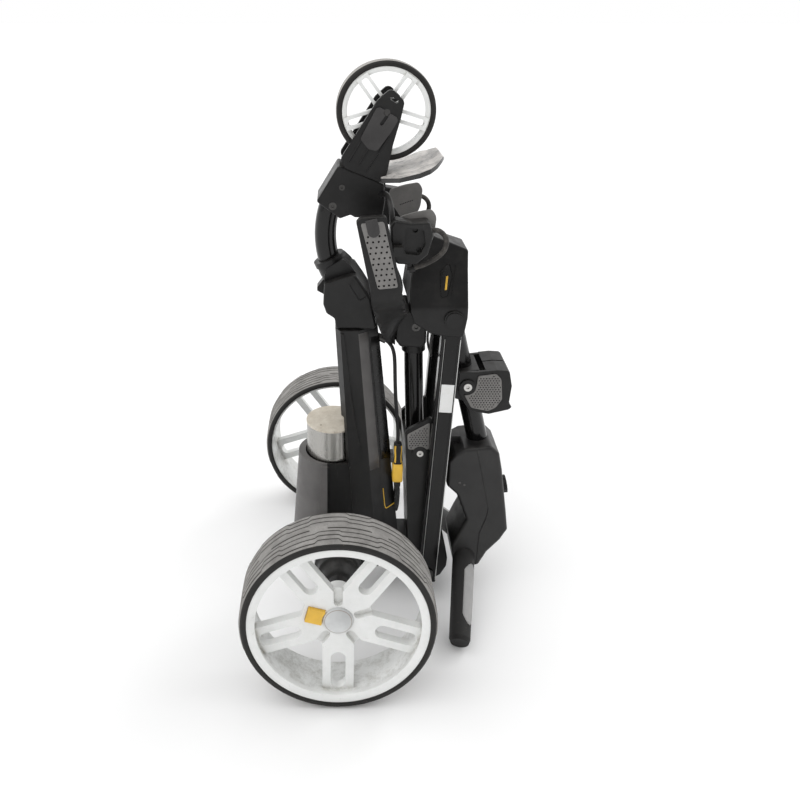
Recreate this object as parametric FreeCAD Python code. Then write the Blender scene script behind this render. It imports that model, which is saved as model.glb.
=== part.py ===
# Electric golf trolley, folded and standing upright on its rear wheels.
# Millimetres. +Z up, +X from the motor side to the handle side, Y across the wheels.
# The near side is -Y.
import FreeCAD, Part
import math
import os

os.makedirs("parts", exist_ok=True)
V = FreeCAD.Vector

# ---- driving dimensions ----------------------------------------------------
BOX_CENTRE_X = 82.5         # middle of the overall box, so that the origin is under it
REAR_R = 142.5              # rear tyre radius
REAR_W = 75.0               # rear tyre width
REAR_X = 6.0                # rear axle position
REAR_Y = 242.5              # rear wheel middle, each side
FRONT_R = 75.5              # front tyre radius
FRONT_W = 46.0
FRONT_X = 78.0
FRONT_Z = 841.0
SPOKE_PAIRS = 5
AXLE_R = 8.0
RUNNING_FIT = 0.05          # radial clearance of turning bores

BEAM_BOTTOM = 62.0
BEAM_TOP = 500.0
BEAM_HALF_Y = 50.0
MOTOR_X = -2.0
MOTOR_R = 44.0
MOTOR_BASE = 228.0
MOTOR_TOP = 316.0
HOUSING_TOP = 262.0
HOUSING_BOTTOM = 92.0

STRUT_BASE_X = 160.0        # lower pivot of the struts
STRUT_BASE_Z = 60.0
STRUT_LEAN = 3.13           # degrees towards the handle
STRUT_LENGTH = 438.0
STRUT_HALF = 15.5
STRUT_IN = 42.0             # inner face of each strut
STRUT_OUT = 64.0

HINGE_X = 185.5             # handle pivot in the head
HINGE_Z = 526.0
HEAD_FLARE_LOW = 66.0       # half width of the head below its taper
HEAD_FLARE_TOP = 638.0
HEAD_TOP_HALF = 26.0
HANDLE_LEAN = 13.7          # degrees from straight down
HANDLE_TUBE_R = 17.5

GRIP_R = 17.0
CORD_R = 3.8
LEAD_R = 3.0


# ---- helpers ---------------------------------------------------------------
def save(node, *shapes):
    moved = []
    for shape in shapes:
        for solid in shape.Solids:
            piece = solid.copy()
            piece.translate(V(-BOX_CENTRE_X, 0, 0))
            moved.append(piece)
    out = moved[0] if len(moved) == 1 else Part.makeCompound(moved)
    out.exportStep("parts/" + node + ".step")
    print(node, len(moved), "solids", round(sum(s.Volume for s in moved)))


def mirrored(shape):
    return shape.mirror(V(0, 0, 0), V(0, 1, 0))


def rounded_wire(points, radius):
    """Closed wire in the XZ plane with every corner rounded as far as it allows."""
    count = len(points)
    pts = [V(x, 0, z) for x, z in points]
    starts = []
    ends = []
    mids = []
    for i in range(count):
        before = pts[i - 1]
        here = pts[i]
        after = pts[(i + 1) % count]
        back = before - here
        ahead = after - here
        la = back.Length
        lb = ahead.Length
        back.normalize()
        ahead.normalize()
        angle = back.getAngle(ahead)
        reach = radius / math.tan(angle / 2)
        reach = min(reach, 0.42 * la, 0.42 * lb)
        r = reach * math.tan(angle / 2)
        middle = back + ahead
        middle.normalize()
        depth = r / math.sin(angle / 2) - r
        starts.append(here + back * reach)
        ends.append(here + ahead * reach)
        mids.append(here + middle * depth)
    edges = []
    for i in range(count):
        edges.append(Part.Arc(starts[i], mids[i], ends[i]).toShape())
        edges.append(Part.LineSegment(ends[i], starts[(i + 1) % count]).toShape())
    return Part.Wire(edges)


def plate(points, y0, y1, radius=0):
    """Flat piece with an XZ outline, between two Y positions."""
    if radius > 0:
        wire = rounded_wire(points, radius)
    else:
        ring = [V(x, 0, z) for x, z in points]
        wire = Part.makePolygon(ring + [ring[0]])
    face = Part.Face(wire)
    solid = face.extrude(V(0, y1 - y0, 0))
    solid.translate(V(0, y0, 0))
    return solid


def softened(solid, edges, sizes):
    """The solid with these edges rounded by the first size that the shape allows."""
    for size in sizes:
        try:
            rounded = solid.makeFillet(size, edges)
        except Exception:
            continue
        if rounded.isValid() and rounded.Volume > 0.7 * solid.Volume:
            return rounded
    return solid


def soft_plate(points, y0, y1, radius, edge):
    """A plate whose two outlines are rounded over."""
    solid = plate(points, y0, y1, radius)
    rims = [e for e in solid.Edges if e.BoundBox.YLength < 0.01]
    return softened(solid, rims, [edge, 0.75 * edge, 0.5 * edge, 0.3 * edge])


def cylinder_y(x, z, r, y0, y1):
    return Part.makeCylinder(r, y1 - y0, V(x, y0, z), V(0, 1, 0))


def rod(start, end, r):
    along = end - start
    return Part.makeCylinder(r, along.Length, start, along)


def slab(x0, x1, y0, y1, z0, z1):
    return Part.makeBox(x1 - x0, y1 - y0, z1 - z0, V(x0, y0, z0))


def turned(profile):
    """Solid of revolution about the Y axis from (y, radius) corners."""
    ring = [V(r, y, 0) for y, r in profile]
    face = Part.Face(Part.makePolygon(ring + [ring[0]]))
    return face.revolve(V(0, 0, 0), V(0, 1, 0), 360)


def slot_y(x, z, length, width, angle, y0, y1):
    """Round-ended slot through the Y direction, its length turned by angle from X."""
    half = length / 2 - width / 2
    body = slab(-half, half, y0, y1, -width / 2, width / 2)
    body = body.fuse(cylinder_y(-half, 0, width / 2, y0, y1))
    body = body.fuse(cylinder_y(half, 0, width / 2, y0, y1))
    body.rotate(V(0, 0, 0), V(0, 1, 0), -angle)
    body.translate(V(x, 0, z))
    return body


def cord_path(points, label, r):
    """Straight runs joined by tangent arcs through the given points."""
    pts = [V(*p) for p in points]
    edges = []
    last = pts[0]
    smallest = 1e9
    for i in range(1, len(pts) - 1):
        back = pts[i - 1] - pts[i]
        ahead = pts[i + 1] - pts[i]
        shorter = min(back.Length, ahead.Length)
        turn = math.pi - back.getAngle(ahead)
        back.normalize()
        ahead.normalize()
        reach = 0.45 * shorter
        bend = reach / math.tan(turn / 2)
        smallest = min(smallest, bend)
        inner = back + ahead
        inner.normalize()
        half = (math.pi - turn) / 2
        depth = bend / math.sin(half) - bend
        a = pts[i] + back * reach
        b = pts[i] + ahead * reach
        m = pts[i] + inner * depth
        edges.append(Part.LineSegment(last, a).toShape())
        edges.append(Part.Arc(a, m, b).toShape())
        last = b
    edges.append(Part.LineSegment(last, pts[-1]).toShape())
    wire = Part.Wire(edges)
    print(label, "tightest bend", round(smallest, 1), "length", round(wire.Length, 1))
    return wire


def swept_round(wire, r):
    first = wire.OrderedVertexes[0].Point
    edge = wire.OrderedEdges[0]
    along = edge.tangentAt(edge.FirstParameter)
    if (edge.valueAt(edge.FirstParameter) - first).Length > 0.01:
        along = edge.tangentAt(edge.LastParameter) * -1
    ring = Part.Wire(Part.makeCircle(r, first, along))
    pipe = wire.makePipeShell([ring], True, True)
    return pipe.Solids[0] if pipe.Solids else Part.Solid(pipe)


def single(shape):
    """The largest solid of a boolean result."""
    return max(shape.Solids, key=lambda s: s.Volume)


# ---- wheels ----------------------------------------------------------------
def spoke_pair(angle, reach, half, slot_half, slot_from, slot_to, y0, y1):
    bar = slab(0, reach, y0, y1, -half, half)
    middle = (slot_from + slot_to) / 2
    gap = slot_y(middle, 0, slot_to - slot_from + slot_half, 2 * slot_half, 0, y0 - 1, y1 + 1)
    pair = bar.cut(gap)
    pair.rotate(V(0, 0, 0), V(0, 1, 0), -angle)
    return pair


def wheel(r, width, rim_r, lip, hub_r, bore_r, bore_stop, hub_in, pair, face, web_r):
    """Rim with spokes, and its tyre, about the Y axis with the outer face at -Y."""
    w = width / 2
    shoulder = (r - rim_r) * 0.35
    tyre = turned([(-w + 1.5, rim_r), (-w, rim_r + 1.5), (-w, r - 2 * shoulder),
                   (-w + shoulder * 0.6, r - shoulder * 0.8), (-w + 2.2 * shoulder, r - 0.4),
                   (-w * 0.4, r), (w * 0.4, r), (w - 2.2 * shoulder, r - 0.4),
                   (w - shoulder * 0.6, r - shoulder * 0.8), (w, r - 2 * shoulder),
                   (w, rim_r + 1.5), (w - 1.5, rim_r)])
    wall = lip * 0.28
    rim = turned([(-w + 1.5, rim_r), (-w + 1.0, rim_r - lip * 0.5), (-w + 3.0, rim_r - lip),
                  (-w + 6.0, rim_r - lip), (-w + 12.0, rim_r - lip * 0.7), (0, rim_r - 1.6 * wall),
                  (w - 3.0, rim_r - wall), (w - 3.0, rim_r)])
    hub = turned([(face, 0), (face, hub_r * 1.35), (face + 8, hub_r * 1.35), (face + 11, hub_r),
                  (hub_in, hub_r * 0.8), (hub_in, 0)])
    half, slot_half, slot_from, slot_to = pair
    body = rim.fuse(hub)
    for i in range(SPOKE_PAIRS):
        angle = -90 + i * 360 / SPOKE_PAIRS
        arm = spoke_pair(angle, rim_r - wall, half, slot_half, slot_from, slot_to, face, face + 12)
        body = body.fuse(arm)
    if web_r > 0:
        body = body.fuse(cylinder_y(0, 0, web_r, face + 0.5, face + 10))
        for i in range(SPOKE_PAIRS):
            channel = slot_y(web_r, 0, 2 * (web_r - hub_r + 3), 13, 0, face - 1, face + 7)
            channel.rotate(V(0, 0, 0), V(0, 1, 0), 90 - (i + 0.5) * 360 / SPOKE_PAIRS)
            body = body.cut(channel)
    bore = cylinder_y(0, 0, bore_r, bore_stop, hub_in + 1)
    body = body.cut(bore).removeSplitter()
    return single(body), tyre


BUTTON_ANGLE = 165.0
BUTTON_FROM = 22.0
BUTTON_TO = 47.0


def button_block(grow, y0, y1):
    block = slab(BUTTON_FROM - grow, BUTTON_TO + grow, y0, y1, -12 - grow, 12 + grow)
    block = block.cut(cylinder_y(0, 0, 23.6 - grow, y0 - 1, y1 + 1))
    block.rotate(V(0, 0, 0), V(0, 1, 0), -BUTTON_ANGLE)
    return block


rear_face = -20.0
rear_rim, rear_tyre = wheel(REAR_R, REAR_W, 131.0, 12.0, 27.0, AXLE_R + RUNNING_FIT, -14.0,
                            36.0, (23.0, 11.0, 62.0, 114.0), rear_face, 50.0)
seat = slab(18, 53, rear_face, rear_face + 12, -16, 16)
seat.rotate(V(0, 0, 0), V(0, 1, 0), -BUTTON_ANGLE)
rear_rim = rear_rim.fuse(seat).cut(button_block(0.5, rear_face - 1, rear_face + 7)).removeSplitter()
rear_rim = single(rear_rim)
hub_cap = turned([(rear_face - 5, 0), (rear_face - 4.6, 14), (rear_face - 2.5, 21.5),
                  (rear_face, 22.5), (rear_face, 0)])
release = button_block(0, rear_face - 4, rear_face + 3)


def rear_wheel(shape, side):
    piece = shape.copy()
    if side > 0:
        piece = mirrored(piece)
    piece.translate(V(REAR_X, side * REAR_Y, REAR_R))
    return piece


for side, tag in ((-1, "near"), (1, "far")):
    save("rim_" + tag, rear_wheel(rear_rim, side))
    save("tyre_" + tag, rear_wheel(rear_tyre, side))
    save("hub_cap_" + tag, rear_wheel(hub_cap, side))
    save("wheel_release_" + tag, rear_wheel(release, side))

FRONT_AXLE_R = 5.0
front_rim, front_tyre = wheel(FRONT_R, FRONT_W, 66.0, 7.5, 12.0, FRONT_AXLE_R + RUNNING_FIT,
                              -40.0, 25.0, (10.0, 5.2, 20.0, 57.0), -25.0, 0)
front_place = V(FRONT_X, 0, FRONT_Z)
front_rim.translate(front_place)
front_tyre.translate(front_place)
save("front_rim", front_rim)
save("front_tyre", front_tyre)


# ---- beam, covers, motor and gear housing ---------------------------------
def beam_left(z):
    return 28.0 - (z - 100.0) * 0.065


def beam_right(z):
    return 112.0 - (z - 100.0) * 0.105


def beam_section(z):
    left = beam_left(z)
    right = beam_right(z)
    deep = right - left
    half = [(left, 36.0), (left + 8, BEAM_HALF_Y), (left + 0.52 * deep, BEAM_HALF_Y),
            (left + 0.76 * deep, 38.0), (right, 30.0)]
    ring = [V(x, -y, z) for x, y in half] + [V(x, y, z) for x, y in reversed(half)]
    return Part.makePolygon(ring + [ring[0]])


beam = Part.makeLoft([beam_section(BEAM_BOTTOM), beam_section(BEAM_TOP)], True, True)
beam_block = beam.copy()
gear_cavity = cylinder_y(REAR_X, REAR_R, 37.0, -16.0, 24.0)
motor_bay = Part.makeCylinder(MOTOR_R + 2.5, 345 - MOTOR_BASE, V(MOTOR_X, 0, MOTOR_BASE))
axle_hole = cylinder_y(REAR_X, REAR_R, AXLE_R + RUNNING_FIT, -60, 60)


def housing_section(z, back, r):
    ring = [Part.LineSegment(V(60, -r, z), V(back, -r, z)).toShape(),
            Part.Arc(V(back, -r, z), V(back - r, 0, z), V(back, r, z)).toShape(),
            Part.LineSegment(V(back, r, z), V(60, r, z)).toShape(),
            Part.LineSegment(V(60, r, z), V(60, -r, z)).toShape()]
    return Part.Wire(ring)


housing = Part.makeLoft([housing_section(HOUSING_BOTTOM, -22.0, 50.0),
                         housing_section(HOUSING_TOP, -12.0, 48.0)], True, True)
housing = housing.cut(beam_block).cut(motor_bay).cut(gear_cavity).cut(axle_hole)
pinion_bore = Part.makeCylinder(13.0, 16.0, V(MOTOR_X, 0, 166.0))
shaft_bore = Part.makeCylinder(5.0, 70.0, V(MOTOR_X, 0, 170.0))
housing = housing.cut(pinion_bore).cut(shaft_bore)
housing = single(housing)
ridge = plate([(-27, 120), (-12, 120), (-9, 258), (-21, 258)], -52.5, -46.0)
ridge = ridge.cut(beam_block).cut(motor_bay).cut(cylinder_y(REAR_X, REAR_R, 24.5, -60, 0))
housing = housing.fuse(ridge).fuse(mirrored(ridge)).removeSplitter()
save("gear_housing", single(housing))

beam = beam.cut(motor_bay).cut(gear_cavity).cut(axle_hole)
beam = beam.cut(pinion_bore).cut(shaft_bore)
beam = single(beam)
save("chassis_beam", beam)

cover = plate([(beam_left(496) + 9, 496), (beam_left(496) + 13, 496), (29, 381), (42, 298),
               (40, 270), (24, 250), (beam_left(258) + 9, 258)], -53.0, -BEAM_HALF_Y, 7)
save("beam_covers", cover, mirrored(cover))

can = Part.makeCylinder(MOTOR_R, MOTOR_TOP - MOTOR_BASE, V(MOTOR_X, 0, MOTOR_BASE))
can_bore = Part.makeCylinder(5.0, 12.0, V(MOTOR_X, 0, MOTOR_BASE))
can = can.cut(can_bore)
save("motor_can", can)
cap = Part.makeCylinder(MOTOR_R + 0.8, 3.2, V(MOTOR_X, 0, MOTOR_TOP))
cap = cap.cut(Part.makeCylinder(1.6, 4, V(MOTOR_X - 20, -22, MOTOR_TOP)))
save("motor_end_cap", cap)

axle = cylinder_y(REAR_X, REAR_R, AXLE_R, -255.5, 255.5)
save("drive_axle", axle)
crown = cylinder_y(REAR_X, REAR_R, 34.0, 14.0, 22.0)
for i in range(24):
    tooth_gap = slab(26.0, 36.0, 13.0, 16.0, -1.6, 1.6)
    tooth_gap.rotate(V(0, 0, 0), V(0, 1, 0), i * 15.0)
    tooth_gap.translate(V(REAR_X, 0, REAR_R))
    crown = crown.cut(tooth_gap)
crown = crown.cut(cylinder_y(REAR_X, REAR_R, AXLE_R, 10, 30))
save("crown_gear", single(crown))
pinion = Part.makeCylinder(12.0, 10.0, V(MOTOR_X, 0, 167.0))
for i in range(8):
    tooth_gap = slab(10.5, 14.0, -1.5, 1.5, 166.0, 178.0)
    tooth_gap.rotate(V(0, 0, 0), V(0, 0, 1), i * 45.0)
    tooth_gap.translate(V(MOTOR_X, 0, 0))
    pinion = pinion.cut(tooth_gap)
spindle = Part.makeCylinder(5.0 - RUNNING_FIT, 72.0, V(MOTOR_X, 0, 167.0))
save("motor_pinion", single(pinion.fuse(spindle)))

sleeve = turned([(-50.5, AXLE_R + RUNNING_FIT), (-50.5, 24), (-58, 24), (-60, 18), (-138, 18),
                 (-142, 37), (-152, 37), (-156, 33), (-166, 31), (-170, 26), (-184, 21),
                 (-188, 16), (-203, 13.5), (-203, AXLE_R + RUNNING_FIT)])
sleeve.translate(V(REAR_X, 0, REAR_R))
sleeve = single(sleeve)
save("axle_boots", sleeve, mirrored(sleeve))

# ---- neck, front tube, fork and front axle --------------------------------
tube_arc = Part.Arc(V(-3, 0, 702), V(-13.5, 0, 638), V(-2.594, 0, 588)).toShape()
tube_path = Part.Wire([tube_arc])
tube_ring = Part.Wire(Part.makeCircle(17.0, V(-3, 0, 702), tube_arc.tangentAt(tube_arc.FirstParameter)))
front_tube = tube_path.makePipeShell([tube_ring], True, True)
save("front_tube", front_tube)

neck = soft_plate([(3, BEAM_TOP), (1, 518), (-12, 527), (-17, 542), (-15, 584), (-12, 596),
              (14, 612), (27, 600), (48, 569), (58, 552), (68, BEAM_TOP)], -44, 44, 6, 4.0)
collar = rod(V(9, 0, 566), V(-8, 0, 606), 23.5)
neck_rim = rod(V(-5, 0, 599), V(-9, 0, 608), 25.5)
shoulder = plate([(-30, 570), (-30, 640), (60, 640), (60, 585), (28, 590)], -60, -27)
neck = neck.cut(shoulder).cut(mirrored(shoulder))
neck = neck.fuse(collar).fuse(neck_rim).cut(front_tube)
knob_hole = slab(-40, -4.5, -9.1, 9.1, 545, 576.5)
neck = neck.cut(knob_hole)
neck = neck.cut(plate([(30, 590), (52, 556), (40, 548), (24, 575)], -46, -42, 4))
save("neck_casting", single(neck.removeSplitter()))
knob = plate([(-14, 545.5), (-27, 553), (-27, 559), (-14, 576), (-9, 573), (-9, 549)], -9, 9, 2)
save("release_knob", knob)

crown_block = soft_plate([(6, 761), (-27, 706), (9, 679), (25, 685), (32, 681), (74, 681),
                     (78, 707), (76, 732), (17, 757)], -35, 35, 4, 2.5)
crown_block = crown_block.cut(front_tube)
screw_spots = ((12, 728, 4.5), (-2, 699, 6.0))
for x, z, r in screw_spots:
    for side in (-1, 1):
        pocket = cylinder_y(x, z, r, 33 if side > 0 else -36, 36 if side > 0 else -33)
        crown_block = crown_block.cut(pocket)
save("fork_crown", single(crown_block))

leg_outline = [(9, 771), (64, 859), (84, 877), (104, 857), (99, 833), (88, 793), (76.5, 733),
               (17.5, 757)]
leg = plate(leg_outline, -35, -27, 9)
leg = leg.cut(crown_block)
for lift in (0, 15):
    rib_a = V(22 + lift, -35, 768 - lift * 0.3)
    rib_b = V(52 + lift, -35, 818 - lift * 0.3)
    leg = leg.fuse(rod(rib_a, rib_b, 1.6))
leg = leg.fuse(rod(V(48, -35, 752), V(82, -35, 806), 1.4))
leg = leg.cut(slot_y(88.5, 859, 14, 4.5, -28, -40, -20))
leg = leg.cut(cylinder_y(FRONT_X, FRONT_Z, FRONT_AXLE_R, -40, -20))
leg = single(leg)
panel = plate([(64, 851), (96, 832), (83, 810), (64, 784), (51, 787), (39, 802)], -38, -35, 6)
panel = panel.cut(slot_y(74, 830, 18, 5, 55, -40, -30))
panel = panel.cut(cylinder_y(FRONT_X, FRONT_Z, FRONT_AXLE_R, -40, -20))
leg = leg.cut(panel)
leg = single(leg)
save("fork_leg_near", leg)
save("fork_leg_far", mirrored(leg))
save("leg_panels", panel, mirrored(panel))
front_axle = cylinder_y(FRONT_X, FRONT_Z, FRONT_AXLE_R, -35, 35)
save("front_axle", front_axle)

# ---- bag shelf ------------------------------------------------------------
shelf_side = plate([(70, 737), (96, 744), (126, 751), (152, 762), (166, 772), (163, 777),
                    (149, 768), (124, 758), (96, 751), (70, 744)], -76, 76, 2.0)
shelf_plan = Part.Face(Part.Wire([
    Part.LineSegment(V(70, -45, 700), V(96, -76, 700)).toShape(),
    Part.LineSegment(V(96, -76, 700), V(140, -76, 700)).toShape(),
    Part.Arc(V(140, -76, 700), V(170, 0, 700), V(140, 76, 700)).toShape(),
    Part.LineSegment(V(140, 76, 700), V(96, 76, 700)).toShape(),
    Part.LineSegment(V(96, 76, 700), V(70, 45, 700)).toShape(),
    Part.LineSegment(V(70, 45, 700), V(70, -45, 700)).toShape()]))
shelf = shelf_side.common(shelf_plan.extrude(V(0, 0, 120)))
shelf = shelf.cut(leg).cut(mirrored(leg)).cut(crown_block)
save("bag_shelf", single(shelf))

# ---- rear bracket and lower stem ------------------------------------------
bracket = soft_plate([(100, 70), (98, 94), (163.5, 94), (164, 118), (182, 118), (193, 92), (197, 70),
                 (196, 54), (186, 36), (170, 26), (146, 30), (118, 52)], -40, 40, 6, 3.0)
bracket = bracket.cut(beam_block)
bracket = bracket.cut(cylinder_y(STRUT_BASE_X, STRUT_BASE_Z, 6.0, -50, 50))
bracket = single(bracket)
save("rear_bracket", bracket)

STEM_TUBE_R = 15.5
stem_tube = rod(V(139, 0, 262), V(130, 0, 476), STEM_TUBE_R)
stem_base = plate([(128, 94), (117.5, 316), (124, 322), (161, 344), (162, 94)], -40, 40, 3)
stem_base = stem_base.cut(slab(100, 170, -33.5, 33.5, 300, 360))
stem_base = stem_base.cut(slab(135, 156, -33.5, 33.5, 110, 240))
pad_outline = [(121, 312), (158, 334), (158, 284), (123, 284)]
pad_seat = plate(pad_outline, -41, -38.5, 4)
stem_base = stem_base.cut(pad_seat).cut(mirrored(pad_seat))
boss = cylinder_y(143, 277, 13, -42, -30)
stem_base = stem_base.fuse(boss).fuse(mirrored(boss))
stem_base = stem_base.cut(stem_tube)
screw_hole = cylinder_y(143, 277, 5.5, -43, -39.5)
stem_base = stem_base.cut(screw_hole).cut(mirrored(screw_hole))
stem_base = single(stem_base.cut(bracket).removeSplitter())
save("lower_stem", stem_base)
stem_pad = plate(pad_outline, -41.5, -38.5, 4)
stem_pad = stem_pad.cut(cylinder_y(143, 277, 13.0, -50, -30))
save("stem_pads", single(stem_pad), mirrored(single(stem_pad)))

# ---- lower bag cradle ------------------------------------------------------
yoke = soft_plate([(98, 478), (106, 466), (140, 464), (148, 472), (148, 505), (136, 524),
                   (118, 531), (98, 528)], -35, 35, 7, 4.5)
neck_ring = rod(V(131.2, 0, 448), V(130.4, 0, 468), 19.5)
yoke = yoke.fuse(neck_ring)
yoke = yoke.cut(stem_tube)
bolt_spot = (131, 500)
for y0 in (-36, 31):
    yoke = yoke.cut(cylinder_y(bolt_spot[0], bolt_spot[1], 7.0, y0, y0 + 5))
yoke = single(yoke.removeSplitter())
save("cradle_yoke", yoke)
save("stem_tube", stem_tube)


def corners(*points):
    ring = [V(*p) for p in points]
    return Part.makePolygon(ring + [ring[0]])


def cradle_arm():
    link = Part.makeLoft([
        corners((53, -136, 596), (97, -136, 596), (97, -122, 596), (53, -122, 596)),
        corners((54, -132, 578), (101, -132, 582), (101, -116, 584), (54, -116, 580)),
        corners((59, -118, 556), (106, -116, 562), (106, -98, 568), (59, -100, 562)),
        corners((69, -90, 520), (113, -86, 545), (112, -68, 555), (68, -72, 536)),
        corners((82, -60, 488), (116, -56, 535), (115, -38, 541), (81, -42, 498)),
        corners((98, -35, 470), (98, -35, 524), (98, -6, 524), (98, -6, 470))], True, False)
    frame = soft_plate([(31, 700), (37, 707), (73, 709), (97, 602), (97, 594), (53, 594)],
                       -136, -122, 4, 2.0)
    arm = frame.fuse(link).cut(yoke)
    arm = arm.cut(cradle_pad_shape)
    return single(arm.removeSplitter())


cradle_pad_shape = plate([(37, 699), (70, 702), (92, 604), (63, 601)], -137, -132, 4)
arm_near = cradle_arm()
save("cradle_arm_near", arm_near)
save("cradle_arm_far", mirrored(arm_near))
wing_flap = soft_plate([(93, 697), (119, 705), (142, 709), (149, 698), (146, 667), (136, 647),
                        (114, 647), (93, 679)], -94, -90, 7, 1.2)
save("cradle_pads", cradle_pad_shape, mirrored(cradle_pad_shape), wing_flap,
     mirrored(wing_flap))

wing = soft_plate([(81, 644), (92, 634), (118, 633), (135, 648), (142, 676), (136, 698), (110, 696),
                   (86, 700), (80, 690)], -122, -94, 6, 4.0)
wing = wing.cut(soft_plate([(101, 690), (128, 686), (131, 664), (122, 648), (101, 650)],
                           -128, -116, 5, 0.8))
wing = wing.cut(arm_near)
for x, z in ((116, 684), (122, 655)):
    wing = wing.cut(cylinder_y(x, z, 4.0, -123, -112))
wing_arm = slab(84, 97.5, -136, -122, 650, 664)
wing_arm = wing_arm.cut(arm_near)
wing = single(wing.fuse(wing_arm).removeSplitter())
hoop_points = [(84, -108, 690), (83, -104, 708), (80, -88, 722), (78, -66, 724),
               (76, -48, 722), (72, -34, 716)]
hoop = swept_round(cord_path(hoop_points, "cradle hoop", 4.0), 4.0)
hook = rod(V(117, -108, 625), V(109, -108, 622), 6.0)
hook = hook.fuse(slab(106, 113, -112, -104, 622, 636))
wing = wing.fuse(hoop.cut(crown_block)).fuse(hook)
wing = single(wing.removeSplitter())
save("cradle_wing_near", wing)
save("cradle_wing_far", mirrored(wing))

cord_points = [(138, -108, 681), (146, -108, 682.5), (155, -108, 679), (162, -108, 670),
               (163, -108, 659), (158, -108, 648), (149, -108, 639.5), (138, -108, 633),
               (128, -108, 628), (117, -108, 625)]
bag_cord = swept_round(cord_path(cord_points, "bag cord", CORD_R), CORD_R)
bag_cord = single(bag_cord.cut(wing))
save("bag_cords", bag_cord, mirrored(bag_cord))

# ---- battery lead and plug -------------------------------------------------
lead_points = [(84, -25, 474), (92, -27, 468), (97, -30, 455), (98.5, -33, 437),
               (99, -36, 414), (100, -38, 388), (102, -38, 360), (104.5, -38, 334),
               (106, -38, 312), (106, -38, 296)]
lead = swept_round(cord_path(lead_points, "battery lead", LEAD_R), LEAD_R)
plug = slab(99, 113, -46, -30, 258, 296).fuse(slab(97.5, 115.5, -48, -28, 226, 258))
plug_nose = slab(101, 112, -44, -32, 214, 226)
plug = single(plug.fuse(plug_nose).cut(beam_block).removeSplitter())
plug_clip = slab(94, 99, -44, -32, 262, 280).cut(beam_block)
gland = rod(V(70, -22, 480), V(84, -25, 474), 6.0).cut(beam_block)
lead = single(lead.cut(gland))
save("battery_lead", lead)
save("lead_plug", plug)

# ---- fixed fasteners on the chassis ----------------------------------------
fasteners = []
for x, z, r in screw_spots:
    head = cylinder_y(x, z, r, -35.8, -33)
    socket = cylinder_y(x, z, r * 0.45, -36, -34.4)
    head = head.cut(socket)
    fasteners = fasteners + [head, mirrored(head)]
yoke_bolt = cylinder_y(131, 500, 7.0, -34.5, -31).cut(cylinder_y(131, 500, 3.2, -35, -32.5))
stem_screw = cylinder_y(143, 277, 5.5, -42.6, -39.5).cut(cylinder_y(143, 277, 2.2, -43, -41))
fasteners = fasteners + [yoke_bolt, mirrored(yoke_bolt), stem_screw, mirrored(stem_screw)]
pivot_pin = cylinder_y(STRUT_BASE_X, STRUT_BASE_Z, 6.0, -66, 66)
pin_flange = cylinder_y(STRUT_BASE_X, STRUT_BASE_Z, 9.0, -67.5, -65)
pivot_pin = pivot_pin.fuse(pin_flange).fuse(mirrored(pin_flange)).removeSplitter()
fasteners = fasteners + [single(pivot_pin), single(plug_clip), single(gland)]
save("chassis_fasteners", *fasteners)


# ---- struts, hinge head, hinge pin and bail --------------------------------
def leaned(shape):
    piece = shape.copy()
    piece.rotate(V(0, 0, 0), V(0, 1, 0), STRUT_LEAN)
    piece.translate(V(STRUT_BASE_X, 0, STRUT_BASE_Z))
    return piece


def strut():
    outline = [(-STRUT_HALF, -18), (STRUT_HALF, -18), (STRUT_HALF, STRUT_LENGTH),
               (-STRUT_HALF, STRUT_LENGTH)]
    bar = plate(outline, -STRUT_OUT, -STRUT_IN)
    long_edges = [e for e in bar.Edges if abs(e.Length - STRUT_LENGTH - 18) < 0.1]
    bar = bar.makeFillet(4.0, long_edges)
    bar = bar.cut(slab(-11.5, -9.0, -STRUT_OUT - 1, -STRUT_OUT + 1.5, -18, STRUT_LENGTH))
    bar = bar.cut(slab(8.5, 10.0, -STRUT_OUT - 1, -STRUT_OUT + 0.8, -18, STRUT_LENGTH))
    bar = bar.cut(cylinder_y(0, 0, 6.0 + RUNNING_FIT, -80, -30))
    bar = bar.cut(cylinder_y(0, 0, 9.5, -80, -63.2))
    return leaned(bar)


strut_near = single(strut())
save("strut_near", strut_near)
save("strut_far", mirrored(strut_near))

lean_sin = math.sin(math.radians(STRUT_LEAN))
lean_cos = math.cos(math.radians(STRUT_LEAN))
top_left = (STRUT_BASE_X + STRUT_LENGTH * lean_sin - 18 * lean_cos,
            STRUT_BASE_Z + STRUT_LENGTH * lean_cos + 18 * lean_sin)
top_right = (STRUT_BASE_X + STRUT_LENGTH * lean_sin + 18 * lean_cos,
             STRUT_BASE_Z + STRUT_LENGTH * lean_cos - 18 * lean_sin)
head = plate([(116, 545), (119, 588), (131, 640), (154, 649), (209, 628), (208, 600), (207, 528),
              top_right, top_left, (150, 502), (124, 519)], -66, 66, 5)
flare_side = [(545, HEAD_FLARE_LOW), (HEAD_FLARE_TOP, HEAD_TOP_HALF), (660, HEAD_TOP_HALF - 4)]
flare_ring = [V(90, -66, 440)] + [V(90, -y, z) for z, y in flare_side]
flare_ring = flare_ring + [V(90, y, z) for z, y in reversed(flare_side)] + [V(90, 66, 440)]
flare = Part.Face(Part.makePolygon(flare_ring + [flare_ring[0]])).extrude(V(140, 0, 0))
long_edges = [e for e in flare.Edges if e.BoundBox.XLength > 100 and e.BoundBox.ZMin > 500
              and e.BoundBox.ZMax < 650]
flare = softened(flare, long_edges, [30.0, 20.0, 10.0])
head = head.common(flare)
face_rims = [e for e in head.Edges if e.BoundBox.YLength < 60 and e.Length > 12
             and e.BoundBox.YMin * e.BoundBox.YMax > 100]
head = softened(head, face_rims, [3.0, 2.0, 1.2])
head = head.cut(slab(90, 152, -38, 38, 440, 547))
head = head.cut(slab(160.5, 240, -23, 23, 440, 552.5))
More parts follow.
